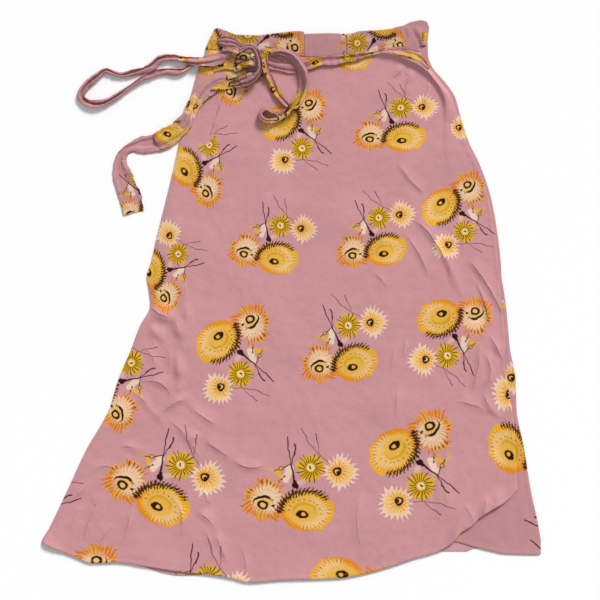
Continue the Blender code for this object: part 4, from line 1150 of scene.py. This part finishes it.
edges = (
    straight(-106, 379, -118.9, float(seam_back(-118.9)) + SEAM), straight(193, 384, 190.5, float(seam_back(190.5)) + SEAM),
    edge_x(top_back, -106, 193), edge_x(seam_back, -118.9, 190.5, SEAM),
)
X, Y, U, V, z, thick, P = band("back", None, edges, 1.0, 310, 30, None, 90, 6.9)
z = np.clip(z, 0.3, 1.05)
finish_band("waistband_back_cloth", "waistband_back", X, Y, z, np.maximum(z - 0.0, 0.3), P, BUNCHES_CORNER_BAND)

# ---------------------------------------------------------------------------------------------------------------
# The tie: a folded strap of one real width, gathered lengthwise where it narrows.

A_TABLE = np.array([(0.0, 31), (0.3, 30.3), (0.6, 28.3), (0.9, 25.0), (1.12, 22.1), (1.42, 17.2), (1.58, 14.4), (1.72, 12.1), (1.83, 10.3), (1.9, 9.0), (2.0, 7.0), (2.1, 5.3)])


def route(rows, step):
    """Even stations along a smooth route: x, y, z, width."""
    pts = np.array(rows, float)
    pts = np.concatenate([[2 * pts[0] - pts[1]], pts, [2 * pts[-1] - pts[-2]]])
    fine = []
    for k in range(1, len(pts) - 2):
        p0, p1, p2, p3 = pts[k - 1 : k + 3]
        for t in np.arange(12) / 12:
            fine.append(0.5 * (2 * p1 + (p2 - p0) * t + (2 * p0 - 5 * p1 + 4 * p2 - p3) * t * t + (3 * p1 - p0 - 3 * p2 + p3) * t**3))
    fine.append(pts[-2])
    fine = np.array(fine)
    s = np.concatenate([[0], np.cumsum(np.hypot(*np.diff(fine[:, :2], axis=0).T))])
    n = max(4, int(round(s[-1] / step)))
    at = np.linspace(0, s[-1], n + 1)
    out = np.stack([np.interp(at, s, fine[:, c]) for c in range(fine.shape[1])], -1)
    return at, out


def strap_data(rows, seed, waves=1.15, start=0.0, tall=0.7, step=1.4, across=44, thick=0.7, roll=0.3, drift=0.012, wide=31.0, crumple=0.6, lap=1.0):
    """A strap of a real width, folded lengthwise where it shows narrower, with uneven folds that wander and cross."""
    at, st = route(rows, step)
    gen = np.random.default_rng(seed)
    ph = gen.uniform(0, math.tau, 12)
    n = len(at)
    t = np.linspace(-0.5, 0.5, across + 1)
    top, low = np.zeros((n, across + 1, 3)), np.zeros((n, across + 1, 3))
    fwd = np.gradient(st[:, :2], axis=0)
    fwd /= np.linalg.norm(fwd, axis=1)[:, None]
    for i in range(n):
        s = at[i] + start
        w = st[i, 3] * (1 + 0.05 * math.sin(s * 0.21 + ph[0]) + 0.03 * math.sin(s * 0.57 + ph[6]))
        A = np.interp(-w * 31.0 / wide, -A_TABLE[:, 1], A_TABLE[:, 0])
        k = waves * (1 + 0.20 * math.sin(s * 0.047 + ph[1]))
        phase = ph[2] + drift * s + 0.9 * math.sin(s * 0.052 + ph[3])
        th = A * np.sin(math.tau * k * t + phase) + 0.26 * A * np.sin(math.tau * k * 2.1 * t + ph[4] + 0.07 * s)
        mid = (th[1:] + th[:-1]) / 2
        a = np.concatenate([[0], np.cumsum(np.cos(mid))]) * wide / across
        b = np.concatenate([[0], np.cumsum(np.sin(mid))]) * wide / across * tall
        a -= (a.max() + a.min()) / 2
        a *= w / max(3.0, a.max() - a.min())
        b -= b.mean()
        # short slanting wrinkles that come and go along the strap
        e1 = max(0.0, math.sin(s * 0.071 + ph[7])) ** 1.5
        e2 = max(0.0, math.sin(s * 0.113 + ph[8])) ** 1.5
        ease = np.cos(np.pi * t) ** 0.5
        b += crumple * ease * (
            0.42 * e1 * np.sin(math.tau * (s / 8.7 + 1.1 * t) + ph[9]) + 0.30 * e2 * np.sin(math.tau * (s / 5.3 - 1.7 * t) + ph[10])
            + 0.16 * np.sin(math.tau * (s / 13.0 + 0.6 * t) + ph[11])
        )
        a += 0.30 * crumple * math.sin(s * 0.62 + ph[5] + 1.3 * math.sin(s * 0.17)) * math.sin(s * 0.23 + ph[9])
        # laps: the cloth steps up along lines that wander across the strap and die out
        for m, (place_, reach_, pace, size) in enumerate(((0.16, 0.16, 0.033, 1.0), (-0.2, 0.12, 0.045, 0.8), (0.02, 0.3, 0.022, 0.7))):
            line = place_ + reach_ * math.sin(s * pace + ph[m + 6])
            high = lap * size * max(0.0, math.sin(s * pace * 1.37 + ph[m + 2] + m)) ** 0.6
            u = (t - line) / 0.035
            b += high * (1 / (1 + np.exp(-2.2 * u)) - 0.5) * np.exp(-np.abs(t - line) / 0.22)
        lean = roll * math.sin(s * 0.037 + ph[5])
        if st.shape[1] > 4:
            lean += math.radians(st[i, 4])
        a, b = a * math.cos(lean) - b * math.sin(lean), a * math.sin(lean) + b * math.cos(lean)
        da, db = np.gradient(a), np.gradient(b)
        ln = np.hypot(da, db) + 1e-9
        na, nb = -db / ln, da / ln
        half = thick / 2 * np.ones_like(a)
        half[0] = half[-1] = thick * 0.25
        ta, tb, la, lb = a + na * half, b + nb * half, a - na * half, b - nb * half
        base_ = min(tb.min(), lb.min())
        z0 = max(st[i, 2], 0) + 0.06
        side = np.array([fwd[i, 1], -fwd[i, 0]])
        # across runs to the right of the direction of travel
        top[i, :, 0], top[i, :, 1], top[i, :, 2] = st[i, 0] + side[0] * ta, st[i, 1] + side[1] * ta, z0 + tb - base_
        low[i, :, 0], low[i, :, 1], low[i, :, 2] = st[i, 0] + side[0] * la, st[i, 1] + side[1] * la, z0 + lb - base_
    cloth = np.stack(np.meshgrid(t * wide, at + start), -1)
    # rows go along the strap and columns to its right, so the faces turn over
    points, faces, kind, flat = shell_data(top[:, ::-1], low[:, ::-1], cloth[:, ::-1])
    return (points, faces, np.zeros_like(kind), flat), at[-1]


def on_strap(rows, prints, start=0.0):
    """Bunches, and the ends of plain strokes, given by their place on the floor plan, in a strap's own coordinates:
    across it and along it. A bunch is given as: place x, y, the point of the drawing that lies there, its turn on the
    plan, mirror and scale."""
    at, st = route(rows, 1.5)
    fwd = np.gradient(st[:, :2], axis=0)

    def there(x, y):
        i = int(np.argmin(np.hypot(st[:, 0] - x, st[:, 1] - y)))
        f = fwd[i] / np.linalg.norm(fwd[i])
        dx, dy = x - st[i, 0], y - st[i, 1]
        return dx * f[1] - dy * f[0], at[i] + start + dx * f[0] + dy * f[1], math.degrees(math.atan2(-f[0], f[1]))

    out = []
    for row in prints:
        if len(row) == 5:
            (a, b, _), (c, d, _) = there(*row[:2]), there(*row[2:4])
            out.append((a, b, c, d, row[4]))
        else:
            x, y, part, turn, mirror, size = row
            a, b, angle = there(x, y)
            turn -= angle
            c, s = math.cos(math.radians(turn)), math.sin(math.radians(turn))
            px, py = part[0] * mirror * size * UNIT, part[1] * size * UNIT
            out.append((a - px * c + py * s, b - px * s - py * c, turn, mirror, size, size))
    return tuple(out)


# Points of the drawing that strap places name.
CREAM_AT, YELLOW_AT, SPIKY_AT, DAISY_AT, CALYX_AT, EYE_AT = (-27, -16), (13, -24), (14, 17.6), (42, 15), (0, 0), (8.6, -27.2)
FAR = (400.0, 900.0, 0, 1, 0.75, 0.75)     # no bunch near: the ground alone


def strap(name, nodes, stretches, bunches, plain=(), wide=31.0, material=None):
    """One visible piece of the tie from one or more stretches: each a route, its seed and its settings. Bunches and
    plain strokes name the stretch that they lie on."""
    parts, total, start, prints, blanks = [], 0.0, 0.0, [FAR], []
    for n, (rows, seed, settings) in enumerate(stretches):
        settings = {"wide": wide, **settings}
        data, long = strap_data(rows, seed, start=start, **settings)
        parts.append(data)
        total += long * settings["wide"] / wide
        prints += on_strap(rows, [b[1:] for b in bunches if b[0] == n], start)
        blanks += on_strap(rows, [b[1:] for b in plain if b[0] == n], start)
        start += long + 90.0
    obj = build(name, merged(parts), tuple(prints), (material or TIE_FACE_PAINTED_SHADE,), sharp=80, plain=tuple(blanks))
    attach(obj, "root")
    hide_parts(*nodes)
    total * MM
    return obj


S = 0.75
strap(
    "tie_run_cloth", ["tie_run"], [(RUN, 3, {"tall": 0.6, "roll": 0.1, "crumple": 0.5})],
    [
        (0, 36, 338, YELLOW_AT, 20, 1, 0.6), (0, 78, 342, SPIKY_AT, 135, 1, 0.7), (0, 112, 347, CREAM_AT, 30, 1, 0.55),
        (0, 168, 340, (27, -14), 160, 1, 0.8),
    ],
    [(0, -33, 331, 12, 325, 16), (0, 50, 335, 62, 338, 9), (0, 185.5, 331, 194, 323, 6.5)], wide=17.0,
)
strap(
    "tie_loop_cloth", ["tie_loop_upper", "tie_loop_lower"], [(LOOP, 5, {"tall": 0.62})],
    [
        (0, -160, 343, CREAM_AT, 160, 1, 0.66), (0, -258, 306, CREAM_AT, 80, 1, S), (0, -151, 324, DAISY_AT, 0, 1, 0.42),
        (0, -104, 350, YELLOW_AT, 90, 1, 0.5),
    ],
    [(0, -70, 353, -94, 343, 30), (0, -186, 338, -272, 314, 30), (0, -293, 292, -283, 277, 12), (0, -231, 296, -166, 321, 14)], wide=24.0,
)
strap(
    "tie_tail_cloth", ["tie_tail"],
    [
        (TAIL, 12, {"tall": 0.4, "roll": 0.06, "crumple": 0.5}),
        (TAIL_END, 19, {"tall": 0.25, "roll": 0.03, "crumple": 0.35, "lap": 0.6}),
    ],
    [
        (0, -80, 307, CREAM_AT, 0, 1, S), (0, -96, 323, YELLOW_AT, -80, 1, 0.6), (0, -135, 270, DAISY_AT, 200, 1, 0.8),
        (0, -168, 236, YELLOW_AT, -12, 1, S), (1, -211, 152, CALYX_AT, 38, 1, S),
    ],
    [(0, -101, 314, -126, 293, 10), (0, -145, 255, -151, 248, 7), (1, -172, 226, -232, 205, 30)],
    material=TAIL_FACE_PAINTED_SHADE,
)
strap(
    "tie_bow_cloth", ["tie_bow"], [(BOW, 17, {"tall": 0.7, "roll": 0.1})],
    [(0, 11, 279, YELLOW_AT, 70, 1, 0.7), (0, -30, 350, YELLOW_AT, 0, 1, 0.5), (0, -20, 252, SPIKY_AT, 10, 1, S)],
    [(0, -14, 349, 17, 304, 12), (0, -45, 262, -31, 252, 9)], wide=25.0,
)
strap(
    "tie_bow_return_cloth", ["tie_bow_return"], [(BOW_RETURN, 23, {"tall": 0.7, "roll": 0.1})],
    [(0, -28.5, 294, EYE_AT, 40, 1, S), (0, -44, 330, YELLOW_AT, 120, 1, 0.5)], [(0, -29, 326, -22, 303, 4.5)], wide=20.0,
)
# The knot: rolls of the strap wrapped over each other.
strap(
    "tie_knot_cloth", ["tie_knot"],
    [
        (UNDER_KNOT, 31, {"tall": 0.4}), (TONGUE, 32, {"tall": 0.5, "wide": 20.0, "lap": 1.2}),
        (SHORT_ROLL, 33, {"tall": 0.6, "wide": 20.0, "crumple": 1.1, "lap": 1.4}),
        (GATHERED, 34, {"tall": 0.5, "waves": 3.4, "crumple": 1.5, "lap": 1.5, "drift": 0.03}),
        (LOW_FOLD, 35, {"tall": 0.5, "wide": 20.0, "crumple": 1.0, "lap": 1.4}),
        (WRAP, 36, {"tall": 0.9, "wide": 22.0, "waves": 1.8, "crumple": 1.5, "lap": 2.3}),
        (ROLLED_EDGE, 37, {"tall": 0.7, "wide": 6.0, "lap": 0.3, "crumple": 0.3, "across": 16}),
    ],
    [
        (1, -74, 322, SPIKY_AT, 30, 1, 1.05), (2, -83, 350, (-38, -4), 20, 1, 0.75), (4, -76, 296, CREAM_AT, 0, 1, 0.7),
        (6, -88, 325, (13, -37), 0, 1, 1.7),
    ],
    wide=31.0, material=KNOT_FACE_PAINTED_SHADE,
)

# ---------------------------------------------------------------------------------------------------------------
# Floor, light and camera.

floor_mesh = bpy.data.meshes.new("floor")
floor_mesh.from_pydata([(-4, -4, -0.0003), (4, -4, -0.0003), (4, 4, -0.0003), (-4, 4, -0.0003)], [], [(0, 1, 2, 3)])
floor = bpy.data.objects.new("floor", floor_mesh)
bpy.context.scene.collection.objects.link(floor)
paper = bpy.data.materials.new("floor_paper")
paper.use_nodes = True
net = Net(paper.node_tree)
shader = paper.node_tree.nodes["Principled BSDF"]
shader.inputs["Roughness"].default_value = 0.9
shader.inputs["Specular IOR Level"].default_value = 0.1
speck = net.node("ShaderNodeTexNoise")
speck.inputs["Scale"].default_value = 6.0
net.put(shader.inputs["Base Color"], net.blend((0.93, 0.93, 0.93, 1), (0.95, 0.95, 0.95, 1), speck.outputs["Fac"]))
floor_mesh.materials.append(paper)

world = bpy.data.worlds.new("studio")
world.use_nodes = True
world.node_tree.nodes["Background"].inputs["Color"].default_value = (1, 1, 1, 1)
world.node_tree.nodes["Background"].inputs["Strength"].default_value = 0.46
bpy.context.scene.world = world


def sun_light(name, place_, wide, power):
    light = bpy.data.lights.new(name, "SUN")
    light.angle, light.energy = math.radians(wide), power
    obj = bpy.data.objects.new(name, light)
    obj.location = place_
    obj.rotation_euler = (-Vector(place_)).to_track_quat("-Z", "Y").to_euler()
    bpy.context.scene.collection.objects.link(obj)
    return obj


# a large soft light from the upper right, low enough to show the folds
sun_light("key", (0.85, 1.5, 1.2), 18, 3.3)

cam = bpy.data.cameras.new("camera")
cam.sensor_width, cam.lens = 36.0, 94.29
cam.clip_end = 50
camera = bpy.data.objects.new("camera", cam)
camera.location = (0.01211, 0.00189, 2.2)
bpy.context.scene.collection.objects.link(camera)
bpy.context.scene.camera = camera
bpy.context.scene.view_settings.view_transform = "Standard"

bpy.context.view_layer.update()
